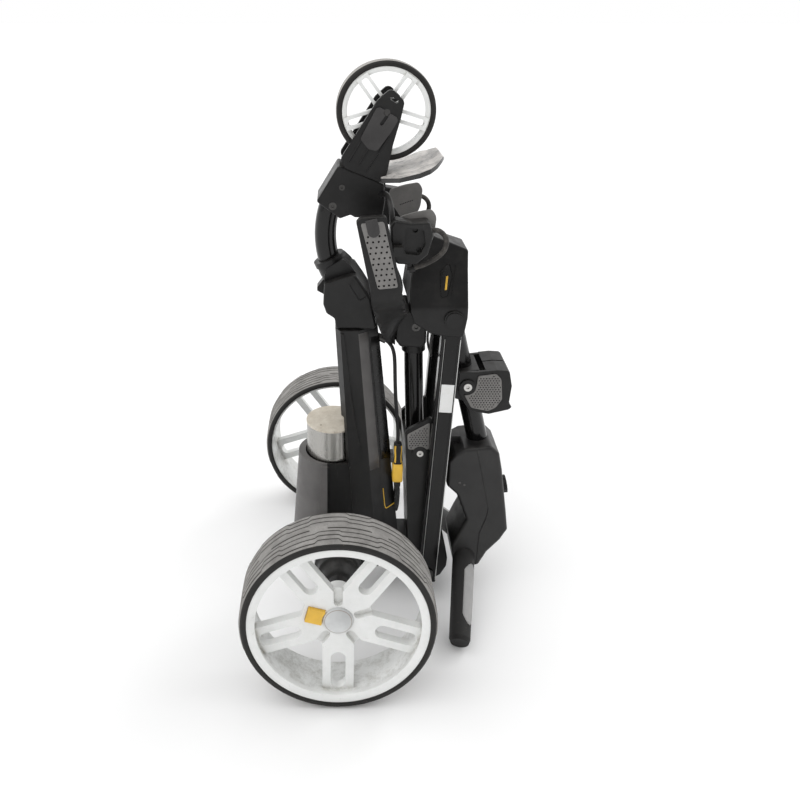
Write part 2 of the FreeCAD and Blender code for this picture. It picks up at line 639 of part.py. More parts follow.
boss = cylinder_y(HINGE_X, HINGE_Z, 15.0, -70, -60)
head = head.fuse(boss).fuse(mirrored(boss))
head = head.cut(cylinder_y(HINGE_X, HINGE_Z, 6.0, -80, 80))
slope = math.degrees(math.atan2(HEAD_FLARE_LOW - HEAD_TOP_HALF, HEAD_FLARE_TOP - 545))


def on_flare(shape):
    """Place a shape made on the plane Y = 0 onto the near sloping side of the head."""
    piece = shape.copy()
    piece.rotate(V(0, 0, 0), V(1, 0, 0), -slope)
    piece.translate(V(0, -HEAD_FLARE_LOW, 545))
    return piece


badge_seat = on_flare(plate([(163, 57), (179, 72), (184, 50), (176, 18), (164, 15)], -2, 1.4, 4))
head = head.cut(badge_seat)
head = head.cut(on_flare(plate([(186.5, 68), (189, 66), (182, 20), (179.5, 20)], -2, 0.9)))
bail_eye = cylinder_y(166, 504, 2.0 + RUNNING_FIT, -31, 31)
head = head.cut(bail_eye)
head = single(head.removeSplitter())
save("hinge_head", head)
hinge_pin = cylinder_y(HINGE_X, HINGE_Z, 6.0, -70, 70)
pin_cap = cylinder_y(HINGE_X, HINGE_Z, 12.5, -72, -70)
hinge_pin = single(hinge_pin.fuse(pin_cap).fuse(mirrored(pin_cap)).removeSplitter())
save("hinge_pin", hinge_pin)

bail_points = [(166, -29, 504), (166, -19, 504), (163.5, -19, 496), (159.5, -19, 484),
               (157, -19, 470), (156.5, -19, 456), (158, -19, 444), (159, -10, 441),
               (159.5, 0, 440.5)]
bail_half = swept_round(cord_path(bail_points, "bail", 2.0), 2.0)
bail = single(bail_half.fuse(mirrored(bail_half)).removeSplitter())
save("wire_bail", bail)


# ---- handle ----------------------------------------------------------------
def hung(shape):
    piece = shape.copy()
    piece.rotate(V(0, 0, 0), V(0, 1, 0), -HANDLE_LEAN)
    piece.translate(V(HINGE_X, 0, HINGE_Z))
    return piece


knuckle = cylinder_y(0, 0, 24.0, -22, 22)
knuckle = knuckle.cut(cylinder_y(0, 0, 6.0 + RUNNING_FIT, -30, 30))
tube = Part.makeCylinder(HANDLE_TUBE_R, 276, V(0, 0, -296))
tube = tube.cut(cylinder_y(0, 0, 22.0, -30, 30))
handle_tube = hung(single(tube.fuse(knuckle).removeSplitter()))

console_outline = [(190.5, 214), (190.5, 260), (202, 275), (218, 284), (262, 289), (276, 275),
                   (282, 245), (293, 167), (298, 128), (286, 107), (265, 83), (251, 56),
                   (209, 52), (203, 95), (216, 127), (226, 148), (208, 197)]
console = soft_plate(console_outline, -41, 41, 7, 5.5)
console = console.cut(handle_tube)
seam = [(236, 290), (253, 213), (262, 170), (259, 152), (249, 122), (246, 50)]
for (xa, za), (xb, zb) in zip(seam[:-1], seam[1:]):
    step = math.hypot(xb - xa, zb - za)
    groove = slab(-0.5, step + 0.5, -42, -39.6, -0.9, 0.9)
    groove.rotate(V(0, 0, 0), V(0, 1, 0), -math.degrees(math.atan2(zb - za, xb - xa)))
    groove.translate(V(xa, 0, za))
    console = console.cut(groove).cut(mirrored(groove))
clip = slab(200, 214, -12, 12, 280, 292).cut(console)
console = console.fuse(clip.cut(handle_tube))

GRIP_ROOT = V(226, -34, 74)
GRIP_END = V(200, -172, 16.0)
grip_dir = GRIP_END - GRIP_ROOT
grip = Part.makeCone(19.0, GRIP_R, grip_dir.Length - 6, GRIP_ROOT, grip_dir)
unit = V(grip_dir)
unit.normalize()
tip = GRIP_END - unit * 6
end_cap = Part.makeCone(GRIP_R, GRIP_R - 2.5, 6, tip, grip_dir)
grip = grip.fuse(end_cap).removeSplitter()
grip = grip.cut(slab(180, 260, -41, 0, 0, 200))
grip = single(grip)
save("grip_near", grip)
save("grip_far", mirrored(grip))

face_dir = V(0.9902, 0, 0.1396)
face_turn = math.degrees(math.atan2(0.1396, 0.9902))


def on_face(shape, along):
    """Place a shape made about +X onto the sloping face of the console."""
    piece = shape.copy()
    piece.rotate(V(0, 0, 0), V(0, 1, 0), -face_turn)
    piece.translate(V(282 + 0.1396 * along, 0, 245 - 0.9902 * along))
    return piece


screen = on_face(slab(-1.5, 0.8, -30, 30, -32, -4), 0)
console = console.cut(on_face(slab(-1.5, 5, -30, 30, -32, -4), 0))
dial_seat = on_face(Part.makeCylinder(15.5, 6, V(-2, 0, 0), V(1, 0, 0)), 54)
console = console.cut(dial_seat)
stub = on_face(Part.makeCylinder(3.0, 9, V(-4, 0, 0), V(1, 0, 0)), 54)
console = console.fuse(stub)
button_well = on_face(Part.makeCylinder(5.5, 8, V(-4, 28, 0), V(1, 0, 0)), 54)
console = console.cut(button_well)
console = single(console.removeSplitter())
save("console_body", console)
save("console_screen", screen)
dial = Part.makeCylinder(15.0, 11, V(-1.0, 0, 0), V(1, 0, 0))
for i in range(12):
    notch = Part.makeCylinder(1.6, 20, V(-5, 15.6, 0), V(1, 0, 0))
    notch.rotate(V(0, 0, 0), V(1, 0, 0), i * 30)
    dial = dial.cut(notch)
dial = dial.cut(Part.makeCylinder(3.0 + RUNNING_FIT, 8, V(-3, 0, 0), V(1, 0, 0)))
dial = on_face(single(dial), 54)
save("speed_dial", dial)
power = on_face(Part.makeCylinder(5.4, 4.5, V(-1.5, 28, 0), V(1, 0, 0)), 54)
save("power_button", power)

# ---- upper bag bracket ------------------------------------------------------
BRACKET_X = 217.0
BRACKET_Z = 398.0
block = soft_plate([(198, 372), (199, 420), (238, 424), (242, 376), (222, 366)], -30, 30, 4, 1.5)
block = block.cut(handle_tube)
block = block.cut(cylinder_y(BRACKET_X, BRACKET_Z, 4.0, -40, -24))
block = block.cut(cylinder_y(BRACKET_X, BRACKET_Z, 4.0, 24, 40))
block = single(block)
save("bag_bracket", block)
save("handle_tube", handle_tube)
arm_outline = [(202, 423), (233, 423), (264, 427), (283, 424), (288, 399), (285, 368),
               (291, 360), (286, 356), (254, 348), (222, 354), (203, 385)]
arm = soft_plate(arm_outline, -38, -30.4, 4, 1.2)
lip = plate([(279, 426), (284, 424), (289, 399), (286, 368), (291, 361), (286, 357), (281, 364),
             (283, 399)], -38, -1.5, 1.5)
top_lip = plate([(246, 421), (264, 423), (281, 421), (281, 426), (264, 427), (246, 425)],
                -38, -1.5)
pad_shape = plate([(233, 417), (262, 421), (271, 412), (274, 376), (264, 361), (252, 355),
                   (224, 361), (212, 384), (217, 384), (231, 398)], -41, -38, 4)
arm = arm.fuse(lip).fuse(top_lip)
arm = arm.fuse(cylinder_y(BRACKET_X, BRACKET_Z, 12.5, -41, -30.4))
arm = arm.cut(cylinder_y(BRACKET_X, BRACKET_Z, 4.0 + RUNNING_FIT, -50, -20))
arm = arm.cut(cylinder_y(BRACKET_X, BRACKET_Z, 7.0, -42, -39))
arm = single(arm.removeSplitter())
pad_shape = pad_shape.cut(cylinder_y(BRACKET_X, BRACKET_Z, 13.5, -50, -30))
pad_shape = single(pad_shape)
save("bag_arm_near", arm)
save("bag_arm_far", mirrored(arm))
save("bag_pad_near", pad_shape)
save("bag_pad_far", mirrored(pad_shape))
bag_screw = cylinder_y(BRACKET_X, BRACKET_Z, 4.0, -39.5, -24)
bag_screw = bag_screw.fuse(cylinder_y(BRACKET_X, BRACKET_Z, 6.6, -42.2, -39.2))
bag_screw = bag_screw.cut(cylinder_y(BRACKET_X, BRACKET_Z, 2.6, -43, -40.8))
bag_screw = single(bag_screw.removeSplitter())
save("bag_screws", bag_screw, mirrored(bag_screw))
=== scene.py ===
import math

import bmesh
import bpy
from mathutils import Matrix, Vector


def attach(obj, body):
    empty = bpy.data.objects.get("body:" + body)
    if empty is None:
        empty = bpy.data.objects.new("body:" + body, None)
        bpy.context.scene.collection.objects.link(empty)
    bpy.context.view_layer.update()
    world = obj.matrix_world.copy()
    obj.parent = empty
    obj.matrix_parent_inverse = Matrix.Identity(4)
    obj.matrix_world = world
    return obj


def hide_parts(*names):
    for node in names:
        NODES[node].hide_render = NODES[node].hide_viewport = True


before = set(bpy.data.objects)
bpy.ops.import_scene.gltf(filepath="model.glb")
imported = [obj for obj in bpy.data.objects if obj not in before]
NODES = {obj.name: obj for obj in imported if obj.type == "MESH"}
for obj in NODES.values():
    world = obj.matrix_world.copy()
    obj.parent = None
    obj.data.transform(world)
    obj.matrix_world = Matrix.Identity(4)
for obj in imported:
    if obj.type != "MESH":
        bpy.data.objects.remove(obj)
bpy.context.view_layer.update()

MM = 0.001
BOX_CENTRE_X = 82.5     # the part is drawn with its box this far along X, in mm
REAR_X, REAR_Y, REAR_R = 6.0, 242.5, 142.5
REAR_W, REAR_BEAD_R = 75.0, 131.0
FRONT_X, FRONT_Z, FRONT_R = 78.0, 841.0, 75.5
FRONT_W, FRONT_BEAD_R = 46.0, 66.0
STRUT_BASE = (160.0, 60.0)
STRUT_LEAN = 3.13       # degrees


def at(x, y, z):
    """A point of the part's own drawing, in mm, as a point of the row frame."""
    return Vector((x - BOX_CENTRE_X, y, z)) * MM


def beam_left(z):
    return 28.0 - (z - 100.0) * 0.065


def beam_right(z):
    return 112.0 - (z - 100.0) * 0.105


# ---- camera ----------------------------------------------------------------
camera_data = bpy.data.cameras.new("camera")
camera_data.sensor_width = 36.0
camera_data.lens = 35.08
camera_data.shift_x = 0.0825
camera_data.shift_y = -0.208
camera_data.clip_end = 200.0
camera = bpy.data.objects.new("camera", camera_data)
camera.location = (-0.0825, -1.1874, 0.985)
camera.rotation_euler = (math.radians(74.05), 0, 0)
bpy.context.scene.collection.objects.link(camera)
bpy.context.scene.camera = camera


# ---- materials -------------------------------------------------------------
class Nodes:
    """A material's node tree, with short calls for what the looks below share."""

    def __init__(self, name):
        self.mat = bpy.data.materials.new(name)
        self.mat.use_nodes = True
        self.tree = self.mat.node_tree
        self.bsdf = self.tree.nodes["Principled BSDF"]
        self.coords = self.tree.nodes.new("ShaderNodeTexCoord")
        self.place = self.coords.outputs["Object"]

    def add(self, kind, **values):
        node = self.tree.nodes.new(kind)
        for key, value in values.items():
            setattr(node, key, value)
        return node

    def put(self, socket, value):
        if isinstance(value, bpy.types.NodeSocket):
            self.tree.links.new(value, socket)
        elif isinstance(value, (tuple, list)) and socket.type == "RGBA":
            socket.default_value = (*value[:3], 1.0)
        else:
            socket.default_value = value

    def set(self, name, value):
        self.put(self.bsdf.inputs[name], value)

    def stretched(self, scale):
        node = self.add("ShaderNodeMapping")
        self.put(node.inputs["Vector"], self.place)
        node.inputs["Scale"].default_value = scale
        return node.outputs["Vector"]

    def noise(self, scale, detail=3.0, rough=0.55, place=None, distortion=0.0):
        node = self.add("ShaderNodeTexNoise")
        self.put(node.inputs["Vector"], place or self.place)
        node.inputs["Scale"].default_value = scale
        node.inputs["Detail"].default_value = detail
        node.inputs["Roughness"].default_value = rough
        node.inputs["Distortion"].default_value = distortion
        return node.outputs["Fac"]

    def spread(self, value, low, high, to_low=0.0, to_high=1.0):
        node = self.add("ShaderNodeMapRange")
        self.put(node.inputs["Value"], value)
        node.inputs["From Min"].default_value = low
        node.inputs["From Max"].default_value = high
        node.inputs["To Min"].default_value = to_low
        node.inputs["To Max"].default_value = to_high
        return node.outputs["Result"]

    def math(self, operation, a, b=0.0):
        node = self.add("ShaderNodeMath", operation=operation)
        self.put(node.inputs[0], a)
        self.put(node.inputs[1], b)
        return node.outputs[0]

    def mix(self, share, a, b):
        node = self.add("ShaderNodeMix", data_type="RGBA")
        self.put(node.inputs["Factor"], share)
        self.put(node.inputs["A"], a)
        self.put(node.inputs["B"], b)
        return node.outputs["Result"]

    def bump(self, height, depth, strength=1.0, under=None):
        node = self.add("ShaderNodeBump")
        node.inputs["Strength"].default_value = strength
        node.inputs["Distance"].default_value = depth
        self.put(node.inputs["Height"], height)
        if under is not None:
            self.put(node.inputs["Normal"], under)
        return node.outputs["Normal"]

    def upward(self, low=0.2, high=0.95):
        """How far a surface faces up at rest, in the piece's own frame."""
        node = self.add("ShaderNodeSeparateXYZ")
        self.put(node.inputs[0], self.coords.outputs["Normal"])
        return self.spread(node.outputs["Z"], low, high)

    def away(self, x, z):
        """Distance from the line along Y through a point of the drawing, in mm."""
        node = self.add("ShaderNodeSeparateXYZ")
        self.put(node.inputs[0], self.place)
        from_x = self.math("SUBTRACT", node.outputs["X"], (x - BOX_CENTRE_X) * MM)
        dx = self.math("MULTIPLY", from_x, 1000)
        from_z = self.math("SUBTRACT", node.outputs["Z"], z * MM)
        dz = self.math("MULTIPLY", from_z, 1000)
        return self.math("SQRT", self.math("ADD", self.math("MULTIPLY", dx, dx),
                                           self.math("MULTIPLY", dz, dz)))

    def occlusion_shade(self, reach, low=0.45, high=0.9):
        """Ambient occlusion mask for painting shade: one in corners and hollows, zero on open
        faces.
        """
        node = self.add("ShaderNodeAmbientOcclusion", samples=6)
        node.inputs["Distance"].default_value = reach
        return self.spread(node.outputs["AO"], low, high, 1.0, 0.0)


def plastic(name, colour, rough=0.45, grain=1100.0, grain_depth=0.00006, dust_and_glare=0.16,
            scuffs=0.35, specular=0.22, dust_and_glare_colour=(0.20, 0.185, 0.165), dust_and_glare_from=0.42,
            beyond=None, ring=None):
    """Moulded plastic: fine spark texture, settled dust on upward faces (on the shelf a pale
    painted highlight of its top's glare, with some dust), faint handling scuffs.

    beyond is (x, colour) for a second tone past that X; ring is (x, z, radius) of a thin line.
    """
    n = Nodes(name)
    tone = n.noise(14.0, 4.0)
    pale = tuple(min(1.0, c * 1.35 + 0.004) for c in colour)
    dark = tuple(c * 0.78 for c in colour)
    body = n.mix(n.spread(tone, 0.3, 0.7), dark, pale)
    if beyond is not None:
        split = n.add("ShaderNodeSeparateXYZ")
        n.put(split.inputs[0], n.place)
        edge = (beyond[0] - BOX_CENTRE_X) * MM
        body = n.mix(n.spread(split.outputs["X"], edge, edge + 0.0006), body, beyond[1])
    if ring is not None:
        gap = n.math("ABSOLUTE", n.math("SUBTRACT", n.away(ring[0], ring[1]), ring[2]))
        body = n.mix(n.spread(gap, 0.25, 0.6, 0.75, 0.0), body, (0.25, 0.17, 0.11))
    # Dust on upward faces; the shelf's pale colour here is a painted highlight, the glare of its
    # top, with some dust.
    dust_and_glare_cover = n.math("MULTIPLY", n.upward(),
                    n.spread(n.noise(55.0, 6.0, 0.7), dust_and_glare_from, dust_and_glare_from + 0.33))
    body = n.mix(n.math("MULTIPLY", dust_and_glare_cover, dust_and_glare), body, dust_and_glare_colour)
    streak = n.noise(36.0, 5.0, 0.7, place=n.stretched((9.0, 9.0, 0.9)), distortion=0.4)
    scuff = n.math("MULTIPLY", n.spread(streak, 0.60, 0.74), scuffs)
    body = n.mix(n.math("MULTIPLY", scuff, 0.25), body, tuple(c + 0.10 for c in colour))
    n.set("Base Color", body)
    shine = n.spread(n.noise(70.0, 4.0), 0.3, 0.7, rough - 0.07, rough + 0.08)
    shine = n.math("ADD", shine, n.math("MULTIPLY", scuff, 0.25))
    n.set("Roughness", n.math("ADD", shine, n.math("MULTIPLY", dust_and_glare_cover, 0.2)))
    n.set("Specular IOR Level", specular)
    wave = n.bump(n.noise(11.0, 2.0), 0.0004, 0.35)
    n.set("Normal", n.bump(n.noise(grain, 2.0), grain_depth, 0.8, wave))
    return n.mat


def painted(name, colour, rough=0.22, coat=0.5, specular=0.4):
    """Satin paint on metal, with orange peel, dust and small chips."""
    n = Nodes(name)
    tone = n.noise(22.0, 5.0, 0.65)
    body = n.mix(n.spread(tone, 0.35, 0.7), tuple(c * 0.8 for c in colour),
                 tuple(c * 1.3 + 0.001 for c in colour))
    chip = n.spread(n.noise(260.0, 3.0, 0.6), 0.755, 0.79)
    body = n.mix(n.math("MULTIPLY", chip, 0.55), body, (0.30, 0.29, 0.27))
    streak = n.noise(30.0, 5.0, 0.7, place=n.stretched((14.0, 14.0, 0.5)))
    rub = n.spread(streak, 0.58, 0.78)
    body = n.mix(n.math("MULTIPLY", rub, 0.025), body, (0.35, 0.33, 0.30))
    n.set("Base Color", body)
    n.set("Roughness", n.math("ADD", n.spread(tone, 0.3, 0.7, rough - 0.04, rough + 0.08),
                              n.math("MULTIPLY", rub, 0.22)))
    n.set("Coat Weight", coat)
    n.set("Coat Roughness", 0.12)
    n.set("Specular IOR Level", specular)
    n.set("Normal", n.bump(n.noise(420.0, 2.0), 0.00005, 0.5))
    return n.mat


def rim_paint(name, barrel=None):
    """Silver-white painted moulding with mud film and painted shade in its corners, and mud in its
    barrel.
    """
    n = Nodes(name)
    blotch = n.noise(26.0, 6.0, 0.65)
    body = n.mix(n.spread(blotch, 0.3, 0.7), (0.78, 0.79, 0.775), (0.89, 0.895, 0.885))
    # Mud film and painted shade: darker where occlusion finds corners, broken up by noise.
    film = n.math("MULTIPLY", n.occlusion_shade(0.010, 0.35, 0.9),
                  n.spread(n.noise(48.0, 7.0, 0.72), 0.34, 0.62))
    body = n.mix(n.math("MULTIPLY", film, 0.75), body, (0.40, 0.385, 0.335))
    if barrel is not None:
        out = n.spread(n.away(barrel[0], barrel[1]), barrel[2] - 3.0, barrel[2])
        depth = n.add("ShaderNodeSeparateXYZ")
        n.put(depth.inputs[0], n.place)
        out = n.math("MULTIPLY", out, n.spread(n.math("ABSOLUTE", depth.outputs["Y"]), 0.264, 0.268,
                                               1.0, 0.0))
        smear = n.spread(n.noise(44.0, 8.0, 0.8), 0.45, 0.66)
        body = n.mix(n.math("MULTIPLY", n.math("MULTIPLY", out, smear), 0.62), body,
                     (0.34, 0.33, 0.29))
    spot = n.spread(n.noise(120.0, 5.0, 0.75), 0.635, 0.70)
    body = n.mix(n.math("MULTIPLY", spot, 0.25), body, (0.46, 0.43, 0.36))
    grit = n.spread(n.noise(430.0, 3.0, 0.7), 0.70, 0.74)
    body = n.mix(n.math("MULTIPLY", grit, 0.4), body, (0.20, 0.17, 0.13))
    n.set("Base Color", body)
    n.set("Metallic", 0.0)
    n.set("Roughness", n.math("ADD", n.spread(blotch, 0.3, 0.7, 0.30, 0.42),
                              n.math("MULTIPLY", film, 0.3)))
    n.set("Coat Weight", 0.25)
    n.set("Coat Roughness", 0.2)
    wave = n.bump(n.noise(60.0, 3.0), 0.0003, 0.3)
    n.set("Normal", n.bump(n.noise(900.0, 2.0), 0.00004, 0.5, wave))
    return n.mat


def rubber(name, colour, dusty, rough=0.75, grain=800.0, share=0.5):
    """Rubber with a dry film of dust."""
    n = Nodes(name)
    film = n.spread(n.noise(38.0, 7.0, 0.7), 0.32, 0.68)
    fine = n.spread(n.noise(520.0, 4.0, 0.7), 0.35, 0.7)
    film = n.math("ADD", n.math("MULTIPLY", film, share), n.math("MULTIPLY", fine, share * 0.4))
    body = n.mix(film, colour, dusty)
    speck = n.spread(n.noise(300.0, 3.0, 0.6), 0.71, 0.75)
    body = n.mix(n.math("MULTIPLY", speck, 0.5), body, (0.34, 0.28, 0.18))
    n.set("Base Color", body)
    n.set("Roughness", n.math("ADD", rough, n.math("MULTIPLY", film, 0.12)))
    n.set("Specular IOR Level", 0.3)
    wave = n.bump(n.noise(90.0, 3.0), 0.0003, 0.4)
    n.set("Normal", n.bump(n.noise(grain, 3.0, 0.6), 0.0001, 0.7, wave))
    return n.mat


def metal(name, colour, rough=0.25, brush=(1.0, 1.0, 40.0), marks=0.4, bright=None):
    """Plated or bare metal with fine brushing, dull patches and painted shade in its sockets.

    bright is (x, z, radius, colour) for a plated screw among blackened ones.
    """
    n = Nodes(name)
    line = n.noise(60.0, 4.0, 0.6, place=n.stretched(brush))
    dull = n.spread(n.noise(32.0, 6.0, 0.7), 0.5, 0.75)
    body = n.mix(n.spread(line, 0.3, 0.7), tuple(c * 0.82 for c in colour), colour)
    if bright is not None:
        near = n.spread(n.away(bright[0], bright[1]), bright[2], bright[2] + 1.0, 1.0, 0.0)
        body = n.mix(near, body, bright[3])
    body = n.mix(n.math("MULTIPLY", dull, marks), body, tuple(c * 0.45 for c in colour))
    # Painted shade: near black in sockets and corners found by occlusion.
    body = n.mix(n.math("MULTIPLY", n.occlusion_shade(0.003, 0.35, 0.8), 0.9), body, (0.03, 0.028, 0.026))
    n.set("Base Color", body)
    n.set("Metallic", 1.0)
    n.set("Roughness", n.math("ADD", n.spread(line, 0.3, 0.7, rough - 0.05, rough + 0.08),
                              n.math("MULTIPLY", dull, 0.2)))
    n.set("Normal", n.bump(line, 0.00003, 0.5))
    return n.mat


def cast_cap(name):
    """Sand-coloured coated casting, rough and spotted."""
    n = Nodes(name)
    blotch = n.noise(60.0, 7.0, 0.72)
    body = n.mix(n.spread(blotch, 0.3, 0.7), (0.50, 0.44, 0.35), (0.70, 0.65, 0.56))
    pit = n.spread(n.noise(300.0, 4.0, 0.7), 0.62, 0.70)
    body = n.mix(n.math("MULTIPLY", pit, 0.6), body, (0.25, 0.21, 0.16))
    n.set("Base Color", body)
    n.set("Roughness", n.spread(blotch, 0.3, 0.7, 0.55, 0.75))
    n.set("Normal", n.bump(n.noise(380.0, 4.0, 0.65), 0.0003, 0.7))
    return n.mat


def woven(name, colour, thread):
    """Braided sleeve: two crossing sets of fine ridges."""
    n = Nodes(name)
    ridges = []
    for turn in (0.9, -0.9):
        node = n.add("ShaderNodeMapping")
        n.put(node.inputs["Vector"], n.place)
        node.inputs["Rotation"].default_value = (turn, turn * 0.4, turn)
        wave = n.add("ShaderNodeTexWave")
        n.put(wave.inputs["Vector"], node.outputs["Vector"])
        wave.inputs["Scale"].default_value = thread
        wave.inputs["Distortion"].default_value = 0.6
        ridges.append(wave.outputs["Fac"])
    weave = n.math("MULTIPLY", ridges[0], ridges[1])
    body = n.mix(n.spread(weave, 0.0, 0.7), tuple(c * 0.5 for c in colour), colour)
    body = n.mix(n.math("MULTIPLY", n.spread(n.noise(70.0, 5.0), 0.45, 0.7), 0.3), body,
                 (0.26, 0.24, 0.21))
    n.set("Base Color", body)
    n.set("Roughness", 0.8)
    n.set("Normal", n.bump(weave, 0.0003, 0.8))
    return n.mat


def paper(name):
    """Printed-label stock with no print, stained a little."""
    n = Nodes(name)
    fibre = n.noise(900.0, 4.0, 0.7)
    stain = n.spread(n.noise(60.0, 5.0, 0.7), 0.5, 0.8)
    body = n.mix(n.spread(fibre, 0.3, 0.7), (0.78, 0.79, 0.78), (0.88, 0.88, 0.87))
    n.set("Base Color", n.mix(n.math("MULTIPLY", stain, 0.35), body, (0.62, 0.60, 0.53)))
    n.set("Roughness", n.spread(stain, 0.0, 1.0, 0.55, 0.8))
    n.set("Normal", n.bump(n.noise(70.0, 2.0), 0.0004, 0.3))
    return n.mat


def glass(name):
    """Dark smeared cover of the console's screen."""
    n = Nodes(name)
    smear = n.noise(45.0, 5.0, 0.7)
    n.set("Base Color", n.mix(n.spread(smear, 0.3, 0.8), (0.008, 0.011, 0.014),
                              (0.02, 0.024, 0.028)))
    n.set("Roughness", n.spread(smear, 0.3, 0.7, 0.04, 0.16))
    n.set("Coat Weight", 1.0)
    n.set("Coat Roughness", 0.05)
    return n.mat


BLACK = (0.0068, 0.0065, 0.0064)
LOOKS = {
    "black": plastic("black_moulding_look", BLACK, 0.36, specular=0.3),
    "console": plastic("console_look", (0.0105, 0.0100, 0.0098), 0.38, specular=0.42),
    "black_gloss": plastic("black_gloss_look", (0.0062, 0.0060, 0.0060), 0.28, dust_and_glare=0.1, scuffs=0.5,
                           specular=0.35),
    # The shelf's top: its pale dust colour is mostly a painted highlight for the glare on it, with
    # some dust.
    "shelf": plastic("shelf_glare_look", (0.0068, 0.0065, 0.0064), 0.24, dust_and_glare=1.0, specular=0.6,
                     dust_and_glare_colour=(0.66, 0.63, 0.60), dust_and_glare_from=0.24),
    "grey": plastic("grey_moulding_look", (0.094, 0.090, 0.088), 0.5, dust_and_glare=0.35, specular=0.3,
                    beyond=(-11.5, BLACK)),
    "panel": plastic("leg_panel_look", (0.052, 0.050, 0.050), 0.6, grain=1700.0, dust_and_glare=0.15),
    "strip": plastic("beam_strip_look", (0.082, 0.078, 0.076), 0.42, dust_and_glare=0.1, specular=0.4),
    "tube": painted("tube_paint_look", (0.0050, 0.0048, 0.0048), 0.18, coat=0.3, specular=0.2),
    "strut": painted("strut_paint_look", (0.0040, 0.0038, 0.0038), 0.14, coat=0.25, specular=0.16),
    "rim": rim_paint("rim_paint_look", (REAR_X, REAR_R, 121.0)),
    "front_rim": rim_paint("front_rim_look"),
    "hub": plastic("hub_cap_look", (0.60, 0.61, 0.61), 0.38, dust_and_glare=0.1, scuffs=0.25, specular=0.5,
                   dust_and_glare_colour=(0.4, 0.37, 0.3), ring=(REAR_X, REAR_R, 19.6)),
    "yellow": plastic("yellow_moulding_look", (0.78, 0.45, 0.045), 0.40, dust_and_glare=0.15, scuffs=0.4,
                      specular=0.5, dust_and_glare_colour=(0.35, 0.25, 0.1)),
    "pad": rubber("pad_rubber_look", (0.17, 0.165, 0.16), (0.27, 0.26, 0.25), 0.7),
    "flap": rubber("flap_rubber_look", (0.16, 0.155, 0.15), (0.26, 0.25, 0.24), 0.6),
    # Near-black walls of the pads' dimples, holes and slits: painted shade.
    "pad_hole_shade": rubber("pad_hole_shade_look", (0.012, 0.012, 0.012), (0.03, 0.028, 0.026), 0.8),
    "tread": rubber("tread_look", (0.17, 0.163, 0.155), (0.345, 0.335, 0.32), 0.8, share=0.75),
    "tread_low": rubber("tread_groove_look", (0.030, 0.028, 0.026), (0.085, 0.080, 0.073), 0.85),
    "sidewall": rubber("sidewall_look", (0.011, 0.0105, 0.010), (0.032, 0.030, 0.028), 0.55,
                       share=0.35),
    "front_tread": rubber("front_tread_look", (0.30, 0.29, 0.275), (0.50, 0.485, 0.46), 0.8,
                          share=0.8),
    "grip": rubber("grip_rubber_look", (0.009, 0.0087, 0.0085), (0.026, 0.025, 0.024), 0.55,
                   share=0.35),
    # Light grey rubber for the grips' painted highlight strips.
    "highlight_strip": rubber("grip_highlight_strip_look", (0.30, 0.30, 0.30), (0.42, 0.41, 0.40), 0.6, share=0.5),
    "cord": woven("cord_sleeve_look", (0.055, 0.050, 0.047), 420.0),
    "lead": rubber("lead_sheath_look", (0.007, 0.007, 0.007), (0.020, 0.019, 0.018), 0.36,
                   share=0.3),
    "steel": metal("bright_steel_look", (0.62, 0.61, 0.59), 0.28),
    "black_steel": metal("blackened_steel_look", (0.085, 0.083, 0.081), 0.34, marks=0.2,
                         bright=(143, 277, 7.0, (0.62, 0.61, 0.59))),
    # Light metal for the strut lines that stand in for edge highlights: painted highlight.
    "strut_highlight": metal("edge_strut_highlight_look", (0.62, 0.62, 0.61), 0.32, brush=(1.0, 1.0, 0.05), marks=0.15),
    "motor": metal("motor_can_look", (0.42, 0.41, 0.39), 0.22, brush=(1.0, 1.0, 0.02)),
    "cap": cast_cap("motor_cap_look"),
    "paper": paper("paper_label_look"),
    "screen": glass("screen_glass_look"),
}

NODE_LOOKS = {
    "shelf": "bag_shelf",
    "console": "console_body",
    "black": "chassis_beam beam_covers neck_casting fork_crown fork_leg_near fork_leg_far "
             "rear_bracket lower_stem cradle_yoke cradle_arm_near cradle_arm_far hinge_head "
             "bag_bracket bag_arm_near bag_arm_far release_knob speed_dial hinge_pin "
             "power_button axle_boots cradle_wing_near cradle_wing_far",
    "grey": "gear_housing",
    "panel": "leg_panels",
    "tube": "front_tube stem_tube handle_tube",
    "strut": "strut_near strut_far",
    "rim": "rim_near rim_far",
    "front_rim": "front_rim",
    "hub": "hub_cap_near hub_cap_far",
    "yellow": "wheel_release_near wheel_release_far",
    "grip": "grip_near grip_far",
    "steel": "drive_axle crown_gear motor_pinion bag_screws",
    "black_steel": "chassis_fasteners wire_bail front_axle",
    "motor": "motor_can",
    "cap": "motor_end_cap",
    "screen": "console_screen",
}
for look, names in NODE_LOOKS.items():
    for name in names.split():
        for material_slot in NODES[name].material_slots:
            material_slot.material = LOOKS[look]

# Rounded edges on the hard moulded and cast pieces.
EDGE_WIDTHS = {
    1.4: "rim_near rim_far",
    0.7: "front_rim gear_housing neck_casting fork_crown fork_leg_near fork_leg_far hinge_head "
         "console_body cradle_yoke lower_stem rear_bracket wheel_release_near wheel_release_far",
    0.5: "chassis_beam beam_covers leg_panels cradle_arm_near cradle_arm_far bag_arm_near "
         "bag_arm_far bag_bracket bag_shelf release_knob hub_cap_near hub_cap_far motor_end_cap "
         "strut_near strut_far cradle_wing_near cradle_wing_far axle_boots speed_dial",
}


def soften(obj, width):
    weld = obj.modifiers.new("weld", "WELD")
    weld.merge_threshold = 0.00002
    bevel = obj.modifiers.new("edges", "BEVEL")
    bevel.width = width * MM
    bevel.segments = 2
    bevel.limit_method = "ANGLE"
    bevel.angle_limit = math.radians(38)
    bevel.use_clamp_overlap = True
    flat = obj.modifiers.new("shading", "WEIGHTED_NORMAL")
    flat.keep_sharp = True
    flat.weight = 60


